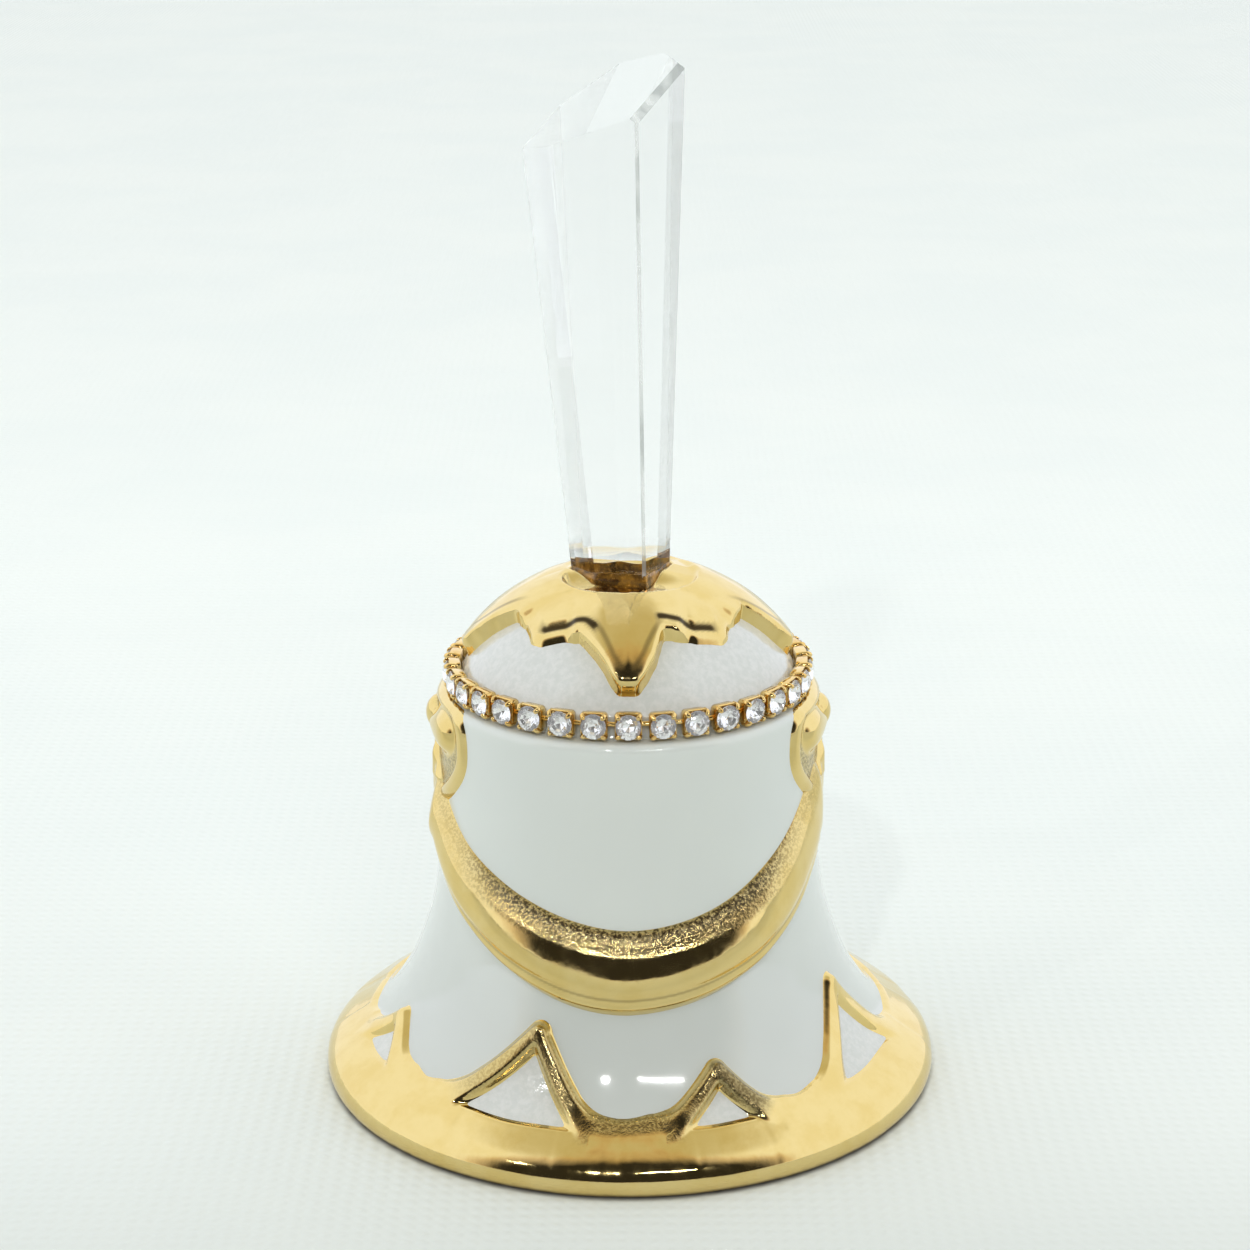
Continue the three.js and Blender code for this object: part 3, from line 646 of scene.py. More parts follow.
def swag_borders():
    """Upper and lower border of a swag, as (bearing, height) lines from its middle to one end."""
    upper = [(b, min(27.1 + 2.6 * (b / 30) ** 1.9, 41.5)) for b in np.arange(0, 90.1, 3)]
    lower = [(b, 17.5 + 2.6 * (b / 30) ** 1.75) for b in np.arange(0, 75.1, 3)]
    lower += [(78, 30.0), (82, 31.4), (85, 33.0), (87, 35.5), (88.0, 38), (SWAG_END_BEARING, 42.5)]
    return np.array(upper), np.array(lower)


def swag(name, node, facing, gold, seed, uneven=0.0):
    """A hanging swag: a grained slope above, a smooth face below it and a rounded lip at the foot.

    An uneven one, as on the front, is narrower at its left end and flatter at its right end.
    """
    bearings = np.arange(-90, 90.01, SWAG_GRID[0])[:, None]
    low, high = along_at(np.array(SWAG_HEIGHTS))
    along = np.linspace(low, high, int((high - low) / SWAG_GRID[1]))[None, :]
    base = over_flank(bearings, along)
    height = height_at(along)
    aside = np.abs(bearings)
    upper, lower = swag_borders()
    left_upper = upper.copy()
    left_upper[:, 0] *= 1 + 0.15 * uneven * smoothstep(22, 50, upper[:, 0])
    upper, lower = (
        np.vstack([left[::-1] * [-1, 1], right[1:]]) for left, right in ((left_upper, upper), (lower, lower)))
    upper_depth, lower_depth = (near_line(base, flank_line(line))[0] for line in (upper, lower))
    waver = 0.12 * rows_of_waves(bearings / 8, along / 9, seed)
    below_upper = np.interp(bearings, *upper.T) - height
    above_lower = height - np.interp(aside, *lower.T)
    upper_depth = np.where(below_upper > 0, upper_depth, -upper_depth) + waver
    within = (above_lower > 0) & (aside < SWAG_END_BEARING)
    lower_depth = np.where(within, lower_depth, -lower_depth) - waver
    inside = (upper_depth > 0) & (lower_depth > 0)
    width = np.maximum(upper_depth, 0) + np.maximum(lower_depth, 0)
    share = np.where(inside, upper_depth / np.maximum(width, 1e-6), 0)
    section = spline(SWAG_SECTION, 0.02)
    lift = np.interp(share, section[:, 0], section[:, 1]) * (0.42 + 0.58 * smoothstep(2.0, 9.0, width))
    lift = lift * (1 - 0.62 * smoothstep(74, 88, aside)) * (1 - 0.38 * uneven * smoothstep(35, 65, bearings))
    lift = np.where(inside, lift, np.clip(np.minimum(upper_depth, lower_depth) * 1.2, -0.4, 0))
    lift = lift + 0.06 * rows_of_waves(bearings / 5, along / 2.5, seed + 1) * inside
    lift = softened(lift, 2)
    grain = (1 - 0.55 * smoothstep(0.06, 0.24, share)) * (1 - smoothstep(0.26, 0.36, share)) * inside
    grain = grain * (1 - 0.7 * smoothstep(35, 62, aside))
    # Painted shade: a thin dark line along the crease between the swag's face and its lip.
    crease_shade = 0.5 * bump(share - SWAG_CREASE, 0.02) * smoothstep(72, 50, aside) * inside
    return flank_relief(name, node, facing, gold, bearings, along, lift, grain=grain, recess=crease_shade)


def bow(name, node, facing, gold):
    """A bow in relief on a raised flange: a knot, two gathered loops and two tails."""
    offsets = np.arange(-38, 38.01, BOW_GRID[0])[:, None]
    low, high = along_at(BOW_FOOT), FLANK_ALONG[-1]
    along = np.linspace(low, high, int((high - low) / BOW_GRID[1]))[None, :]
    knot_along = along_at(BOW_KNOT_HEIGHT)
    per_degree = math.radians(1) * WAIST_RADIUS
    across = offsets * per_degree + 0 * along
    upright = along - knot_along + 0 * offsets
    outline = np.array([
        (x * per_degree, along_at(min(z, BOW_FLAT_TOP)) - knot_along + max(z - BOW_FLAT_TOP, 0))
        for x, z in BOW_FLANGE])
    outline = spline(np.vstack([outline, outline[-2:0:-1] * [-1, 1]]), 0.6)
    depth = inside_depth(np.stack([across, upright], -1), outline)
    half = np.stack([np.abs(across), upright], -1)
    loop, tail = (inside_depth(half, spline(shape, 0.4)) for shape in (BOW_LOOP, BOW_TAIL))
    reach = np.hypot(across, upright)
    angle = np.degrees(np.arctan2(upright, np.abs(across)))
    lift = np.where(depth > 0, 0.62 * rounded_edge(depth, 1.1), np.clip(depth, -0.4, 0))
    lift = lift - 0.36 * smoothstep(1.5, 2.1, depth)
    folds = 0.16 * np.cos(np.radians(angle * 9)) * smoothstep(2, 4, reach) * (1 - smoothstep(7.5, 10, reach))
    loop_lift = 1.35 * rounded_edge(loop, 1.9) + folds * smoothstep(0, 1, loop)
    tail_lift = 1.0 * rounded_edge(tail, 1.3)
    tail_lift = tail_lift + 0.14 * np.cos(np.radians(across * 160)) * smoothstep(0, 0.8, tail)
    knot = 1.85 * np.sqrt(np.clip(1 - (across / 2.1) ** 2 - (upright / 2.3) ** 2, 0, 1))
    for place, raised, blend in ((loop, loop_lift, 0.3), (tail, tail_lift, 0.3), (knot, knot, 0.35)):
        lift = smooth_max(lift, np.where(place > 0, raised, -1), blend)
    lift = lift * (1 - 0.75 * smoothstep(48.2, SHOULDER_HEIGHT, height_at(along))) - 0.02
    bare = np.maximum(np.maximum(loop, tail), np.where(knot > 0, 1, -1))
    grain = 0.6 * smoothstep(1.5, 2.1, depth) * smoothstep(0.1, -0.5, bare)
    return flank_relief(name, node, facing, gold, offsets, along, lift, grain=grain)


# ---- Star and seat ----

def facet_corners(cap_normal, cap_distance):
    """Where each pair of neighbouring facets meets a third plane, normal . p = distance."""
    rows = []
    for bearing, foot, gauge in HANDLE_FACETS:
        growth = (gauge - foot) / (GAUGE_TOP - GAUGE_FOOT)
        angle = math.radians(bearing)
        rows.append(([math.cos(angle), math.sin(angle), -growth], foot - growth * GAUGE_FOOT))
    corners = []
    for (normal, distance), (next_normal, next_distance) in zip(rows, rows[1:] + rows[:1]):
        planes = np.array([normal, next_normal, cap_normal])
        corners.append(np.linalg.solve(planes, [distance, next_distance, cap_distance]))
    return np.array(corners)


def seat_outline(margin):
    """The handle's foot seen from above, grown by a margin: counterclockwise corners."""
    corners = facet_corners([0, 0, 1], GAUGE_FOOT)[:, :2]
    return corners * (1 + margin / np.linalg.norm(corners, axis=1))[:, None]


def sides_of(outline):
    """For each side of a counterclockwise outline, where it starts and its outward normal."""
    for start, end in zip(outline, np.roll(outline, -1, axis=0)):
        edge = end - start
        yield start, np.array([edge[1], -edge[0]]) / np.hypot(*edge)


def outline_radius(outline, angles):
    """Distance from the axis to a convex outline in each direction."""
    directions = np.stack([np.cos(angles), np.sin(angles)], -1)
    radius = np.full(len(angles), np.inf)
    for start, normal in sides_of(outline):
        facing = directions @ normal
        reach = np.where(facing > 1e-6, (start @ normal) / np.maximum(facing, 1e-6), np.inf)
        radius = np.minimum(radius, reach)
    return radius


def star_lift(points):
    """Lift of the star over the dome, and its grooves: a flange, short plates, higher long arms. Also where
    painted shade darkens it: in the grooves and beside the long arms.
    """
    corners = [(r * math.sin(math.radians(b)), -r * math.cos(math.radians(b))) for b, r in STAR_CORNERS]
    depth = inside_depth(points, corners)
    x, y = points[..., 0], points[..., 1]
    lift = np.where(depth > 0, FLANGE_LIFT * rounded_edge(depth, 0.9), np.clip(depth * 1.3, -0.4, 0))
    lift = lift + (STAR_LIFT - FLANGE_LIFT) * smoothstep(1.5, 2.1, depth) + 0.25 * smoothstep(2.0, 5, depth)
    from_arm = np.degrees(np.arctan2(np.abs(x), np.abs(y)))
    along_lobe = smoothstep(13, 17, from_arm) * smoothstep(50, 44, from_arm)
    groove = bump(depth - 1.6, 0.5) * smoothstep(10.0, 11.0, np.hypot(x, y)) * along_lobe
    lift = lift - 0.36 * groove
    for bearing in (0, 90, 180, 270):
        angle = math.radians(bearing)
        out = x * math.sin(angle) - y * math.cos(angle)
        side = np.abs(x * math.cos(angle) + y * math.sin(angle))
        arm = (np.interp(out, *zip(*STAR_ARM)) - side) * 0.9
        high = 0.6 + 0.95 * smoothstep(-0.1, 1.2, arm) + 0.3 * smoothstep(1.0, 4.0, arm)
        high = np.where(arm > -0.1, high, -1)
        knob = 1 - (side / 1.2) ** 2 - ((out - 16.3) / 1.6) ** 2
        high = smooth_max(high, np.where(knob > 0, 0.5 + 1.3 * np.sqrt(np.maximum(knob, 0)), -1), 0.5)
        # Painted shade beside the outer part of each long arm, in the shade mark only and not in the lift.
        beside = bump(arm + 0.1, 0.35) * smoothstep(10.5, 13.0, out) * smoothstep(1.3, 1.8, depth + 1)
        groove = groove + 0.62 * beside
        lift = np.where(depth > 0, smooth_max(lift, high, 0.35), lift)
    return lift, np.clip(groove, 0, 1) * (depth > 0.3)


def star_cap(gold):
    """The gilt star over the dome, with facets round the seat that the handle stands in."""
    seat = seat_outline(SEAT_CLEARANCE)
    angles = np.radians(np.arange(0, 360, 0.6))
    inner = outline_radius(seat, angles)[:, None]
    radius = inner + (STAR_REACH - inner) * np.linspace(0, 1, 76)[None, :]
    flat = np.stack([radius * np.cos(angles)[:, None], radius * np.sin(angles)[:, None]], -1)
    lift, groove = star_lift(flat)
    lift = softened(lift, 4, wrap=True)
    across = np.hypot(flat[..., 0], flat[..., 1])
    dome = np.sqrt(np.maximum(DOME_RADIUS ** 2 - across ** 2, 1))
    stretch = (DOME_RADIUS + lift) / DOME_RADIUS
    top = upright_ring(flat * stretch[..., None], DOME_CENTRE + dome * stretch)
    away = np.max([(flat - start) @ normal for start, normal in sides_of(seat)], axis=0)
    frontness = smoothstep(0.5, 4.0, -flat[..., 1])
    facets = SEAT_RIM + 0.2 - SEAT_FRONT_DROP * frontness - (0.335 - 0.2 * frontness) * away
    fade = smoothstep(7.0, 10.5, across)
    top[..., 2] = -smooth_max(-top[..., 2], -(facets + 6 * fade), 0.3)
    top[..., :2] = flat + (top[..., :2] - flat) * smoothstep(0, 3, away)[..., None]
    top[:, 0, 2] -= 0.12
    base = CROWN_HEIGHT - 0.05
    bottom = upright_ring(flat * (1 - 0.3 / DOME_RADIUS), np.minimum(DOME_CENTRE + dome - 0.3, base))
    # The well that the handle stands in, from its middle out and up.
    steps = [(0.004, 0), (0.5, 0), (0.985, 0), (1.0, 0.12), (1.0, 0.24)]
    wells = [upright_ring(flat[:, 0] * share, SEAT_FLOOR + rise) for share, rise in steps]
    top = np.concatenate([np.stack(wells, 1), top], 1)
    bottom = np.concatenate([np.stack([upright_ring(ring[:, :2], base) for ring in wells], 1), bottom], 1)
    room = (len(angles), len(steps))
    lift = np.concatenate([np.ones(room), lift], 1)
    # Painted shade in the star's grooves and beside its long arms, none in the well.
    recess = np.concatenate([np.zeros(room), groove], 1)
    piece = relief(
        "star_cap_relief", top[:, ::-1], bottom[:, ::-1], lift[:, ::-1], wrap=True, recess=recess[:, ::-1])
    return dress(piece, "bell", "gilding", "star_cap", gold)


# ---- Crystal handle ----

def crystal_handle(glass, edge):
    """The faceted crystal: wide bevels at its right front edge and right top edges, fine ones elsewhere."""
    height, slope_x, slope_y = HANDLE_TOP
    foot = facet_corners([0, 0, 1], HANDLE_FOOT)
    top = facet_corners([-slope_x, -slope_y, 1], height)
    build = bmesh.new()
    for corner in np.vstack([foot, top]):
        build.verts.new(corner * MM)
    bmesh.ops.convex_hull(build, input=build.verts[:])
    bmesh.ops.dissolve_limit(build, angle_limit=math.radians(1), verts=build.verts[:], edges=build.edges[:])
    top_lines = [(top[FRONT_EDGE], top[FRONT_EDGE + 1]), (top[FRONT_EDGE + 1], top[FRONT_EDGE + 2])]
    side_lines = [(foot[FRONT_EDGE], top[FRONT_EDGE])]
    for lines, width in ((top_lines, HANDLE_TOP_BEVEL), (side_lines, HANDLE_SIDE_BEVEL)):
        chosen = [one for one in build.edges if any(lies_on(one, *line) for line in lines)]
        made = bmesh.ops.bevel(build, geom=chosen, offset=width * MM, segments=1, affect="EDGES")
        for face in made["faces"]:
            face.material_index = 1
    fine = [one for one in build.edges if not any(face.material_index for face in one.link_faces)]
    bmesh.ops.bevel(build, geom=fine, offset=HANDLE_BEVEL * MM, segments=2, profile=0.6, affect="EDGES")
    mesh = bpy.data.meshes.new("crystal_handle_cut")
    piece = placed("crystal_handle_cut", flat_mesh(mesh, build))
    return dress(piece, "bell", "crystal", "crystal_handle", glass, edge)


def lies_on(edge, start, end):
    """Whether a mesh edge lies along the line through two points, within a millimetre or so."""
    along = (end - start) / np.linalg.norm(end - start)
    for vertex in edge.verts:
        away = np.array(vertex.co) / MM - start
        if np.linalg.norm(away - (away @ along) * along) > 1.3:
            return False
    return edge.calc_length() / MM > 2


def handle_cement(amber):
    """The bed of cement under the handle, which creeps up round its foot."""
    corners = evenly(np.vstack([seat_outline(0), seat_outline(0)[:1]]), 0.25)[:-1]
    turns = np.arctan2(corners[:, 1], corners[:, 0])
    length = np.linalg.norm(corners, axis=1)
    creep = 0.1 * np.sin(3 * turns) + 0.07 * np.sin(8 * turns + 1)
    floor, low = SEAT_FLOOR + 0.02, HANDLE_FOOT + 0.04
    rings = [
        (0.01, 0, floor, 0), (1, 0.3, floor, 0), (1, 0.32, HANDLE_FOOT + 0.15, 0),
        (1, 0.16, HANDLE_FOOT + 0.75, creep), (1, 0.03, HANDLE_FOOT + 1.15, creep), (1, -0.04, low, 0),
        (0.6, 0, low, 0), (0.01, 0, low, 0)]
    sections = [
        upright_ring(corners * share * (1 + margin / length)[:, None], height + rise)
        for share, margin, height, rise in rings]
    piece = mesh_piece("handle_cement_bed", *loft(sections), sharp=50)
    return dress(piece, "bell", "amber_cement", "handle_cement", amber)


# ---- Cup chain ----

def cup_section(x, half, corner):
    """A square with rounded corners across X, counterclockwise seen from +X."""
    points = []
    for index, (y, z) in enumerate(((1, 1), (-1, 1), (-1, -1), (1, -1))):
        centre = (y * (half - corner), z * (half - corner))
        points += arc(centre, corner, 90 * index, 90 * index + 90, 4)
    return [(x, y, z) for y, z in points]


def prong(y, z):
    """A claw over a corner of a cup, wide at its root and rounded at its tip."""
    path = spline([(x, y * reach, z * reach) for x, reach in PRONG], 0.12)
    radii = np.interp(np.linspace(0, 1, len(path)), [0, 0.5, 0.85, 0.96, 1], [0.25, 0.25, 0.22, 0.15, 0.04])
    along = np.gradient(path, axis=0)
    along /= np.linalg.norm(along, axis=1)[:, None]
    side = np.cross([1, 0, 0], [0, y, z]) / math.sqrt(2)
    turn = np.arange(10) * 2 * math.pi / 10
    sections = []
    for place, direction, radius in zip(path, along, radii):
        other = np.cross(direction, side)
        wide, thick = np.outer(np.cos(turn), side) * 1.25, np.outer(np.sin(turn), other) * 0.85
        sections.append(place + radius * (wide + thick))
    return loft(sections)


def setting():
    """One square cup, open towards +X with its back on x = 0, with four prongs and a link bar."""
    parts = [loft([cup_section(*ring) for ring in CUP_RINGS])]
    parts += [prong(y, z) for y in (-1, 1) for z in (-1, 1)]
    pitch = 2 * math.pi * (CHAIN_BACK_RADIUS + 0.5) / STONE_COUNT
    bar = [(0.36, pitch / 2 + offset, 0) for offset in np.linspace(-0.75, 0.75, 7)]
    parts.append(tube(bar, [0.3, 0.34, 0.3, 0.28, 0.3, 0.34, 0.3], sides=12))
    return joined(parts)


def link_angle(index):
    """Direction of a setting from the axis, in radians from +X. The first faces the front."""
    return -math.pi / 2 + 2 * math.pi * index / STONE_COUNT


def cup_chain(metal):
    """All the settings round the shoulder, with slight play between neighbours."""
    points, faces = setting()
    draws = np.random.default_rng(11)
    parts = []
    for index in range(STONE_COUNT):
        tilt = math.radians(draws.normal(0, 1.0))
        cos, sin = math.cos(tilt), math.sin(tilt)
        tilted = points @ np.array([[1, 0, 0], [0, cos, sin], [0, -sin, cos]])
        tilted = tilted + [CHAIN_BACK_RADIUS, 0, CHAIN_HEIGHT + draws.normal(0, 0.05)]
        parts.append((round_about(tilted, link_angle(index)), faces))
    piece = mesh_piece("cup_chain_settings", *joined(parts), sharp=55)
    return dress(piece, "bell", "chain_metal", "cup_chain", metal)


def brilliant(glass, foil):
    """Mesh of a round brilliant, its table facing +X: cut glass in front, foil behind."""
    starts, points = {}, []
    for name, x, radius, count, offset in (
            ("table", 0.86, 0.80, 8, 0.0), ("crown", 0.66, 1.14, 8, 0.5),
            ("girdle", 0.40, STONE_RADIUS, 16, 0.0), ("keel", 0.30, STONE_RADIUS, 16, 0.0),
            ("pavilion", -0.1, 0.72, 8, 0.0)):
        starts[name] = len(points)
        angles = (np.arange(count) + offset) * 2 * math.pi / count
        points += [(x, radius * math.cos(angle), radius * math.sin(angle)) for angle in angles]
    point_below = len(points)
    points.append((-0.5, 0, 0))

    def at(name, index):
        return starts[name] + index % (16 if name in ("girdle", "keel") else 8)

    cut, backing = [tuple(range(8))], []
    for i in range(8):
        cut += [
            (at("table", i), at("crown", i), at("table", i + 1)),
            (at("table", i), at("crown", i - 1), at("girdle", 2 * i)),
            (at("table", i), at("girdle", 2 * i), at("crown", i)),
            (at("crown", i), at("girdle", 2 * i), at("girdle", 2 * i + 1)),
            (at("crown", i), at("girdle", 2 * i + 1), at("girdle", 2 * i + 2))]
        backing += [
            (at("keel", 2 * i), at("pavilion", i), at("keel", 2 * i + 1)),
            (at("keel", 2 * i + 1), at("pavilion", i + 1), at("keel", 2 * i + 2)),
            (at("keel", 2 * i + 1), at("pavilion", i), at("pavilion", i + 1)),
            (at("pavilion", i), point_below, at("pavilion", i + 1))]
    cut += [(at("girdle", i), at("keel", i), at("keel", i + 1), at("girdle", i + 1)) for i in range(16)]
    mesh = bpy.data.meshes.new("brilliant")
    mesh.from_pydata([tuple(np.multiply(point, MM)) for point in points], [], cut + backing)
    build = bmesh.new()
    build.from_mesh(mesh)
    flat_mesh(mesh, build)
    mesh.materials.append(glass)
    mesh.materials.append(foil)
    mesh.polygons.foreach_set("material_index", [0] * len(cut) + [1] * len(backing))
    return mesh


def stones(glass, foil):
    """One brilliant in each setting. They share a mesh, each turned a little differently."""
    mesh = brilliant(glass, foil)
    draws = np.random.default_rng(5)
    radius = CHAIN_BACK_RADIUS + STONE_SEAT
    for index in range(STONE_COUNT):
        number = f"{index + 1:02d}"
        piece = placed(f"chaton_{number}", mesh)
        angle = link_angle(index)
        piece.location = (radius * math.cos(angle) * MM, radius * math.sin(angle) * MM, CHAIN_HEIGHT * MM)
        piece.rotation_mode = "XYZ"
        piece.rotation_euler = (
            draws.uniform(0, math.pi), draws.normal(0, 0.03), angle + draws.normal(0, 0.03))
        dress(piece, "bell", "rhinestone", f"stone_{number}")


# ---- Clapper ----

def eye_cement(plaster):
    """Plaster that fills the vault above the eye's plate, with a smeared edge."""
    base = EYE_PLATE[0] + EYE_PLATE[1]
    top = VAULT_RADIUS - 0.1
    start = math.degrees(math.acos(6.4 / top))
    under = [(0, -0.05), (2, -0.05), (3.9, -0.1), (4.5, -0.35), (5.2, -0.1), (5.9, 0.3)]
    profile = spline([(radius, base + rise) for radius, rise in under], 0.35).tolist()
    profile += arc((0, VAULT_CENTRE), top, start, 90, 10)[:-1] + [(0, VAULT_CENTRE + top)]
    points, faces = turned_mesh(profile, 64)
    x, y, z = points.T
    turn = np.arctan2(y, x)
    low = smoothstep(3.8, 4.6, np.hypot(x, y)) * (z < base + 0.6)
    points[:, 2] += 0.16 * rows_of_waves(np.cos(turn) * 3, np.sin(turn) * 3, 8) * low
    piece = mesh_piece("eye_cement_fill", points, faces)
    return dress(piece, "bell", "plaster", "eye_cement", plaster)


def clapper_eye(brass):
    """A plate with a rounded edge and a wire loop below it."""
    low, thickness, radius = EYE_PLATE
    plate = turned_mesh([
        (0, low), (radius - 0.2, low), (radius, low + 0.2), (radius, low + thickness - 0.1),
        (radius - 0.1, low + thickness), (0, low + thickness)], 48)
    bend = arc((0, EYE_HEIGHT + EYE_RADIUS), EYE_RADIUS, 180, 360, 20)
    legs = [(-EYE_RADIUS, low + 0.3), (-EYE_RADIUS, low - 0.4)]
    path = legs + bend + [(-x, z) for x, z in legs[::-1]]
    parts = [plate, tube([(x, 0, z) for x, z in path], EYE_WIRE)]
    for side in (-1, 1):
        collar = [(0.5, low - 0.02), (1.15, low - 0.02), (0.8, low - 0.28), (0.5, low - 0.5)]
        points, faces = turned_mesh(collar, 20)
        parts.append((points + [side * EYE_RADIUS, 0, 0], [group[:, ::-1] for group in faces]))
    piece = mesh_piece("clapper_eye_loop", *joined(parts), sharp=40)
    return dress(piece, "bell", "brass_wire", "clapper_eye", brass)


def clapper_link(brass):
    """A closed link of round wire, with the seam where its ends meet."""
    upper = arc((0, EYE_HEIGHT), RING_RADIUS, 0, 180, 18)
    lower = arc((0, LINK_LOW_HEIGHT), RING_RADIUS, 180, 360, 18)
    path = [(0, y, z) for y, z in upper + lower]
    radii = np.full(len(path), LINK_WIRE)
    radii[-1] = LINK_WIRE - 0.08
    piece = mesh_piece("clapper_link_ring", *tube(path, radii, closed=True, sides=20))
    return dress(piece, "link", "brass_wire", "clapper_link", brass)


def clapper_rod(brass):
    """The rod: a ring at its head, a plain shank and a threaded foot."""
    ring = [(x, 0, z) for x, z in arc((0, ROD_EYE_HEIGHT), RING_RADIUS, 0, 360, 40)[:-1]]
    head = ROD_EYE_HEIGHT - RING_RADIUS
    profile = [(0, ROD_FOOT), (0.6, ROD_FOOT), (0.85, ROD_FOOT + 0.25)]
    for turn in range(4):
        thread = ROD_FOOT + 0.5 + turn * THREAD_PITCH
        profile += [(ROD_RADIUS, thread), (0.74, thread + THREAD_PITCH / 2)]
    profile += [
        (ROD_RADIUS, ROD_FOOT + 1.6), (ROD_RADIUS, head - 3.2), (0.95, head - 2.6), (0.84, head - 1.4),
        (0.7, head - 0.3), (0.5, head), (0, head)]
    parts = [tube(ring, ROD_EYE_WIRE, closed=True), turned_mesh(profile, 32)]
    piece = mesh_piece("clapper_rod_shank", *joined(parts), sharp=50)
    return dress(piece, "clapper", "brass_wire", "clapper_rod", brass)


def clapper_ball(brass):
    """A turned ball with a fine equator line and small flats at its bore."""
    mouth = math.degrees(math.acos(1.5 / BALL_RADIUS))
    profile = []
    for radius, height in arc((0, BALL_HEIGHT), BALL_RADIUS, -mouth, mouth, 60):
        profile.append((radius - 0.06 * float(bump(height - BALL_HEIGHT, 0.3)), height))
    profile = [(BALL_BORE, profile[-1][1]), (BALL_BORE, profile[0][1])] + profile
    piece = mesh_piece("clapper_ball_turned", *turned_mesh(profile, 96), sharp=50)
    return dress(piece, "clapper", "clapper_brass", "clapper_ball", brass)


def clapper_nut(brass):
    """A small hexagon nut with chamfered corners."""
    top = BALL_HEIGHT - BALL_RADIUS - 0.1
    bottom = top - NUT_HEIGHT
    angles = np.radians(np.arange(0, 360, 7.5))
    sixth = (angles + math.pi / 6) % (math.pi / 3) - math.pi / 6
    hexagon = NUT_RADIUS * math.cos(math.pi / 6) / np.cos(sixth)
    flat = np.stack([np.cos(angles), np.sin(angles)], -1)
    rings = []
    for radius, z in ((1.0, bottom + 0.15), (1.2, bottom), (1.62, bottom), (NUT_RADIUS, bottom + 0.16),
                      (NUT_RADIUS, top - 0.16), (1.62, top), (1.2, top), (1.0, top - 0.15)):
        rings.append(upright_ring(np.minimum(hexagon, radius)[:, None] * flat, z))
    piece = mesh_piece("clapper_nut_hex", *loft(rings, closed=True), sharp=25)
    return dress(piece, "clapper", "brass_wire", "clapper_nut", brass)


# ---- Materials ----

class Nodes:
    """Short calls for nodes. A value is a number, a colour or the output of another node."""

    def __init__(self, tree):
        self.tree = tree

    def node(self, kind, **settings):
        made = self.tree.nodes.new(kind)
        for key, value in settings.items():
            setattr(made, key, value)
        return made

    def fill(self, socket, value):
        if isinstance(value, bpy.types.NodeSocket):
            self.tree.links.new(value, socket)
        elif socket.type == "RGBA":
            socket.default_value = (*value, 1)
        else:
            socket.default_value = value

    def split(self, vector):
        """The X, Y and Z of a vector."""
        made = self.node("ShaderNodeSeparateXYZ")
        self.fill(made.inputs[0], vector)
        return made.outputs

    def span(self, source, low, high, start=0.0, end=1.0):
        """source between start and end becomes low to high."""
        mapped = self.node("ShaderNodeMapRange", interpolation_type="SMOOTHSTEP")
        for key, value in (
                ("Value", source), ("From Min", start), ("From Max", end), ("To Min", low), ("To Max", high)):
            self.fill(mapped.inputs[key], value)
        return mapped.outputs["Result"]

    def times(self, first, second, operation="MULTIPLY"):
        made = self.node("ShaderNodeMath", operation=operation)
        self.fill(made.inputs[0], first)
        self.fill(made.inputs[1], second)
        return made.outputs[0]

    def plus(self, first, second):
        return self.times(first, second, "ADD")

    def mix(self, factor, first, second):
        """A colour between two colours."""
        made = self.node("ShaderNodeMix", data_type="RGBA")
        for number, value in ((0, factor), (6, first), (7, second)):
            self.fill(made.inputs[number], value)
        return made.outputs[2]

    def patches(self, noise, first, second, start=0.35, end=0.65):
        """Two colours in soft patches, by a noise."""
        return self.mix(self.span(noise, 0, 1, start, end), first, second)


class Shading(Nodes):
    """A node material over places on the object."""

    def __init__(self, name):
        self.material = bpy.data.materials.new(name)
        self.material.use_nodes = True
        super().__init__(self.material.node_tree)
        self.shader = self.tree.nodes["Principled BSDF"]
        self.place = self.node("ShaderNodeTexCoord").outputs["Object"]

    def set(self, **values):
        for key, value in values.items():
            self.fill(self.shader.inputs[key.replace("_", " ")], value)

    def marked(self, name):
        """The values of a mark on the mesh."""
        return self.node("ShaderNodeAttribute", attribute_name=name).outputs["Fac"]

    def noise(self, size, detail=4.0, roughness=0.55, stretch=None):
        """Noise with features of about size millimetres."""
        source = self.place
        if stretch:
            mapping = self.node("ShaderNodeMapping")
            self.fill(mapping.inputs["Scale"], stretch)
            self.fill(mapping.inputs["Vector"], source)
            source = mapping.outputs["Vector"]
        noise = self.node("ShaderNodeTexNoise")
        for key, value in (
                ("Scale", 1 / (size * MM)), ("Detail", detail), ("Roughness", roughness), ("Vector", source)):
            self.fill(noise.inputs[key], value)
        return noise.outputs["Fac"]

    def cells(self, size):
        """Distance to the middle of cells of about size millimetres."""
        cells = self.node("ShaderNodeTexVoronoi")
        self.fill(cells.inputs["Scale"], 1 / (size * MM))
        self.fill(cells.inputs["Vector"], self.place)
        return cells.outputs["Distance"]

    def bumped(self, height, depth, before=None):
        """The height as a bump of depth millimetres."""
        made = self.node("ShaderNodeBump")
        self.fill(made.inputs["Strength"], 1.0)
        self.fill(made.inputs["Distance"], depth * MM)
        self.fill(made.inputs["Height"], height)
        if before is not None:
            self.fill(made.inputs["Normal"], before)
        return made.outputs["Normal"]


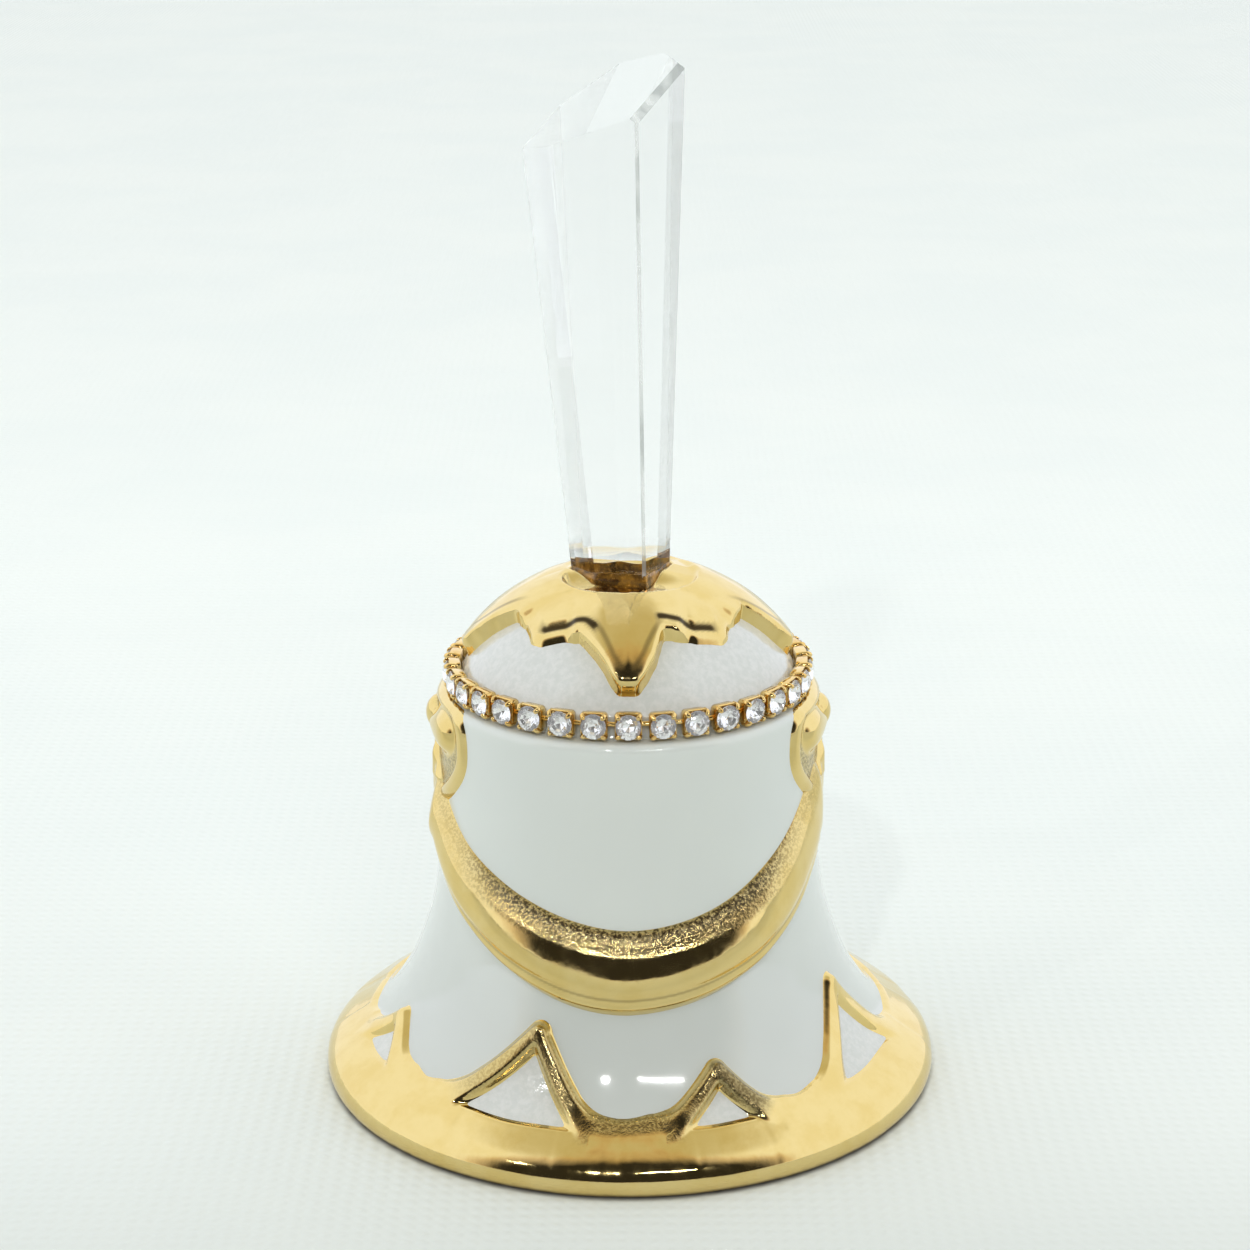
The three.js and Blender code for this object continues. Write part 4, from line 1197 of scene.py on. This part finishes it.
def porcelain_glaze():
    """Cool white glaze: smooth on the body, pearly and mottled on the dome and behind the peaks, with painted
    shade low on the body.
    """
    look = Shading("white_porcelain")
    height = look.split(look.place)["Z"]
    pearly = look.marked("pearly")
    speckle = look.span(look.noise(0.8, 4, 0.65), 0, 1, 0.36, 0.66)
    cloud = look.span(look.noise(14, 2, 0.5), 0, 1, 0.35, 0.65)
    glaze = look.mix(cloud, (0.685, 0.725, 0.69), (0.70, 0.74, 0.70))
    # Painted shade: a darker copy of the glaze, used low on the body from 30 mm down to 12 mm.
    shaded = look.mix(cloud, (0.60, 0.635, 0.605), (0.62, 0.655, 0.625))
    pearl = look.mix(speckle, (0.62, 0.645, 0.615), (0.69, 0.705, 0.68))
    glaze = look.mix(look.span(height, 0, 1, 30 * MM, 12 * MM), glaze, shaded)
    unglazed = look.span(height, 1, 0, 0.1 * MM, 0.6 * MM)
    colour = look.mix(unglazed, look.mix(pearly, glaze, pearl), (0.70, 0.68, 0.63))
    smooth = look.span(look.noise(5, 3), 0.06, 0.11, 0.35, 0.65)
    gloss = look.plus(smooth, look.times(look.times(pearly, speckle), 0.10))
    ripple = look.bumped(look.noise(7, 2, 0.4), 0.05)
    dimples = look.times(look.noise(1.1, 3, 0.55), pearly)
    look.set(Base_Color=colour, Roughness=look.plus(gloss, look.times(unglazed, 0.6)),
             Normal=look.bumped(dimples, 0.05, ripple), IOR=1.52, Coat_Weight=0.5, Coat_Roughness=0.03,
             Subsurface_Weight=0.08, Subsurface_Scale=2 * MM, Subsurface_Radius=(1.0, 0.9, 0.8))
    return look.material


def bright_gold(name, colour, deep, grained=False, polish=(0.05, 0.13)):
    """Burnished gilding with slight brush unevenness, sandy where the mesh is marked for grain and darker, as
    painted shade, where it is marked for shade.
    """
    look = Shading(name)
    colour_here = look.patches(look.noise(4.5, 5, 0.6), colour, deep, 0.38, 0.66)
    smooth = look.span(look.noise(1.6, 4, 0.6), *polish, 0.35, 0.68)
    ripple = look.bumped(look.noise(2.8, 2, 0.4), 0.035)
    if grained:
        grain, recess = look.marked("grain"), look.marked("recess")
        sand = look.noise(0.34, 2, 0.6)
        smooth = look.plus(smooth, look.times(look.plus(grain, recess), 0.15))
        ripple = look.bumped(look.times(sand, grain), 0.1, ripple)
        grit = look.patches(sand, (0.10, 0.075, 0.035), (0.56, 0.46, 0.23), 0.42, 0.6)
        colour_here = look.mix(grain, colour_here, grit)
        # Painted shade: brown where the mesh is marked for shade, near black where it is marked most.
        colour_here = look.mix(recess, colour_here, (0.20, 0.15, 0.065))
        colour_here = look.mix(look.span(recess, 0, 1, 0.55, 1.0), colour_here, (0.05, 0.034, 0.014))
    fine = look.bumped(look.noise(0.35, 3, 0.6), 0.0025, ripple)
    look.set(Base_Color=colour_here, Roughness=smooth, Normal=fine, Metallic=1.0)
    return look.material


def clear_glass(name, ior, tint=(1, 1, 1), thin_above=None):
    """Clear glass with the faintest polishing haze."""
    look = Shading(name)
    deeper = tuple(value * 0.995 for value in tint)
    look.set(Base_Color=look.mix(look.noise(30, 1), tint, deeper), IOR=ior, Transmission_Weight=1.0,
             Roughness=look.span(look.noise(6, 3), 0, 0.012, 0.4, 0.7))
    if thin_above:
        low, high = thin_above
        look.set(Alpha=look.span(look.split(look.place)["Z"], 1.0, 0.5, low * MM, high * MM))
    return look.material


def polished_edge():
    """The ground and polished edges of the crystal, painted grey in streaks as the dark reflections they show
    against white.
    """
    look = Shading("crystal_edges")
    streaks = look.noise(4, 3, 0.6, (1, 1, 0.3))
    # Painted reflection: dark grey and pale streaks in the colour of the bevels.
    look.set(Base_Color=look.patches(streaks, (0.30, 0.32, 0.31), (0.80, 0.82, 0.80), 0.4, 0.6),
             Roughness=look.span(look.noise(3, 2), 0.12, 0.3), Transmission_Weight=0.6, IOR=1.3, Alpha=0.75)
    return look.material


def stone_foil():
    """Silver foil behind the rhinestones, glowing faintly white as painted light."""
    look = Shading("rhinestone_foil")
    # Painted light: the foil glows faintly white.
    look.set(Base_Color=look.patches(look.noise(0.7, 2), (0.98, 0.98, 0.98), (0.90, 0.90, 0.92)),
             Metallic=0.9, Roughness=0.07, Emission_Color=(1.0, 1.0, 1.0), Emission_Strength=0.07)
    return look.material


def amber_cement():
    """Glossy amber adhesive over gold, seen through the foot of the handle."""
    look = Shading("amber_cement")
    look.set(Base_Color=look.patches(look.noise(1.6, 4, 0.6), (0.07, 0.03, 0.006), (0.50, 0.25, 0.03)),
             Roughness=look.span(look.noise(0.8, 3), 0.1, 0.3, 0.3, 0.7),
             Normal=look.bumped(look.noise(1.2, 3), 0.12), Metallic=0.35, Coat_Weight=0.8,
             Coat_Roughness=0.05)
    return look.material


def dry_plaster():
    """Rough white plaster with pores and a little dust."""
    look = Shading("setting_plaster")
    dust = look.noise(2.5, 5, 0.65)
    grain = look.bumped(look.noise(0.4, 5, 0.7), 0.05)
    look.set(Base_Color=look.patches(dust, (0.74, 0.71, 0.64), (0.56, 0.53, 0.46), 0.35, 0.68),
             Roughness=look.span(look.noise(1.5, 3), 0.75, 0.95),
             Normal=look.bumped(look.cells(1.1), 0.06, grain))
    return look.material


def drawn_brass(name, colour, tarnish, rings=False):
    """Brass with drawing marks or turning rings and some tarnish."""
    look = Shading(name)
    marks = look.noise(0.5, 2, 0.5, (1, 1, 5) if rings else (5, 5, 0.4))
    look.set(Base_Color=look.patches(look.noise(3.2, 6, 0.65), colour, tarnish, 0.42, 0.7),
             Roughness=look.span(look.noise(1.2, 4, 0.6), 0.16, 0.34, 0.3, 0.7),
             Normal=look.bumped(marks, 0.012), Metallic=1.0)
    return look.material


def table_cloth():
    """The pale floor, with a very faint weave, painted a little brighter behind the bell and darker in front
    of it, with a painted contact shadow round the lip.
    """
    look = Shading("pale_floor")
    threads = []
    for direction in ("X", "Y"):
        wave = look.node("ShaderNodeTexWave", wave_type="BANDS", bands_direction=direction)
        for key, value in (("Scale", 170), ("Distortion", 0.6), ("Vector", look.place)):
            look.fill(wave.inputs[key], value)
        threads.append(wave.outputs["Fac"])
    x, y, _ = look.split(look.place)
    tone = look.span(look.noise(60, 3), 0, 1, 0.35, 0.65)
    # Painted shade: the floor's colour is darker in front of the bell than behind it.
    far = look.mix(tone, (0.79, 0.84, 0.815), (0.81, 0.855, 0.825))
    near = look.mix(tone, (0.605, 0.64, 0.60), (0.62, 0.655, 0.615))
    colour = look.mix(look.span(y, 0, 1, 0.0, -0.09), far, near)
    reach = look.times(look.plus(look.times(x, x), look.times(y, y)), 0.5, "POWER")
    # Painted contact shadow: a dark ring on the floor just outside the bell's lip.
    painted_contact_shadow = look.span(reach, 1, 0, 37.0 * MM, 38.1 * MM)
    colour = look.mix(painted_contact_shadow, colour, (0.20, 0.20, 0.19))
    # Painted light: the floor glows by its own colour, a little everywhere and more behind the bell.
    look.set(Base_Color=colour, Emission_Color=colour, Roughness=0.75,
             Emission_Strength=look.span(y, 0.02, 0.15, -0.04, 0.25),
             Normal=look.bumped(look.times(*threads), 0.1))
    return look.material


# ---- Stage, light and camera ----

def stage(floor_look):
    """A wide flat pale floor."""
    half = FLOOR_WIDTH / 2
    corners = [(-half, -half, 0), (half, -half, 0), (half, half, 0), (-half, half, 0)]
    floor = mesh_piece("stage_floor", corners, [np.array([[0, 1, 2, 3]])])
    floor.data.materials.append(floor_look)


def studio_world():
    """White all round but for a dark side behind the camera, warm at its edge, and a dim ceiling."""
    world = bpy.data.worlds.new("studio")
    bpy.context.scene.world = world
    world.use_nodes = True
    sky = Nodes(world.node_tree)
    x, y, z = sky.split(sky.node("ShaderNodeTexCoord").outputs["Generated"])
    narrowed = sky.times(sky.times(x, 0.0, "ABSOLUTE"), -0.45)
    forward = sky.plus(sky.times(y, -1.0), narrowed)
    above_horizon = sky.span(z, 0, 1, -0.01, 0.05)
    front = sky.times(sky.span(forward, 0, 1, 0.10, 0.38), above_horizon)
    warm = sky.times(sky.times(sky.span(forward, 0, 1, 0.03, 0.17), above_horizon), 0.55)
    room = sky.mix(sky.span(z, 0, 1, 0.82, 0.97), (0.98, 1.02, 1.08), (0.60, 0.57, 0.42))
    room = sky.mix(warm, room, (0.62, 0.42, 0.22))
    background = world.node_tree.nodes["Background"]
    sky.fill(background.inputs["Color"], sky.mix(front, room, (0.03, 0.028, 0.025)))
    sky.fill(background.inputs["Strength"], 1.2)


def panel(name, bearing, elevation, distance, size, power, height=None):
    """A soft square light, or a low one of its own height, aimed at the bell's middle (metres)."""
    light = bpy.data.lights.new(name, "AREA")
    light.size = size
    light.energy = power
    if height:
        light.shape = "RECTANGLE"
        light.size_y = height
    lamp = placed(name, light)
    turn, rise = math.radians(bearing), math.radians(elevation)
    away = np.array([math.cos(rise) * math.sin(turn), -math.cos(rise) * math.cos(turn), math.sin(rise)])
    lamp.location = np.array([0, 0, AIM_HEIGHT * MM]) + distance * away
    lamp.rotation_euler = (math.pi / 2 - rise, 0, turn)
    return lamp


def lights():
    """Three small lamps, seen as glints, and a soft fill that no reflection shows."""
    panel("lamp_near_left", -12.3, 36, 0.9, 0.026, 1.1)
    panel("lamp_near_right", 16, 36, 0.9, 0.3, 0.9, height=0.018)
    panel("lamp_far_left", -44, 37, 0.9, 0.016, 0.3)
    fill = panel("soft_fill", 0, 38, 1.2, 1.0, 2.4)
    fill.visible_glossy = False
    fill.visible_transmission = False


def camera():
    """A camera at the photograph's viewing angle, looking slightly down."""
    data = bpy.data.cameras.new("camera")
    data.sensor_width = SENSOR_WIDTH
    data.lens = LENS
    data.clip_end = 50
    holder = placed("camera", data)
    holder.location = (0, -CAMERA_DISTANCE * MM, CAMERA_HEIGHT * MM)
    holder.rotation_mode = "XYZ"
    level, down = math.cos(CAMERA_PITCH), math.sin(CAMERA_PITCH)
    forward = np.array([math.sin(CAMERA_YAW) * level, math.cos(CAMERA_YAW) * level, -down])
    right = np.array([math.cos(CAMERA_YAW), -math.sin(CAMERA_YAW), 0.0])
    up = np.cross(right, forward)
    cos, sin = math.cos(CAMERA_ROLL), math.sin(CAMERA_ROLL)
    axes = np.stack([right * cos + up * sin, up * cos - right * sin, -forward], 1)
    holder.rotation_euler = Matrix(axes.tolist()).to_euler()
    bpy.context.scene.camera = holder
    bpy.context.scene.view_settings.view_transform = "Standard"


# ---- The bell ----

def build():
    gold = bright_gold("bright_gilding", (0.77, 0.60, 0.26), (0.73, 0.55, 0.21), grained=True)
    porcelain_body(porcelain_glaze())
    gilt_rim(gold)
    swag("front_swag_relief", "front_swag", 0, gold, 21, uneven=1.0)
    swag("rear_swag_relief", "rear_swag", 180, gold, 34)
    bow("right_bow_relief", "right_bow", 90, gold)
    bow("left_bow_relief", "left_bow", -90, gold)
    star_cap(gold)
    crystal_handle(clear_glass("lead_crystal", 1.42, (0.995, 1.0, 1.0), THIN_ABOVE), polished_edge())
    handle_cement(amber_cement())
    cup_chain(bright_gold("chain_gilding", (0.82, 0.60, 0.25), (0.76, 0.50, 0.17), polish=(0.1, 0.2)))
    stones(clear_glass("rhinestone_glass", 1.56), stone_foil())
    eye_cement(dry_plaster())
    wire = drawn_brass("brass_wire", (0.72, 0.50, 0.20), (0.42, 0.27, 0.10))
    clapper_eye(wire)
    clapper_link(wire)
    clapper_rod(wire)
    clapper_nut(wire)
    clapper_ball(drawn_brass("turned_brass", (0.78, 0.56, 0.24), (0.50, 0.33, 0.13), rings=True))


build()
stage(table_cloth())
studio_world()
lights()
camera()
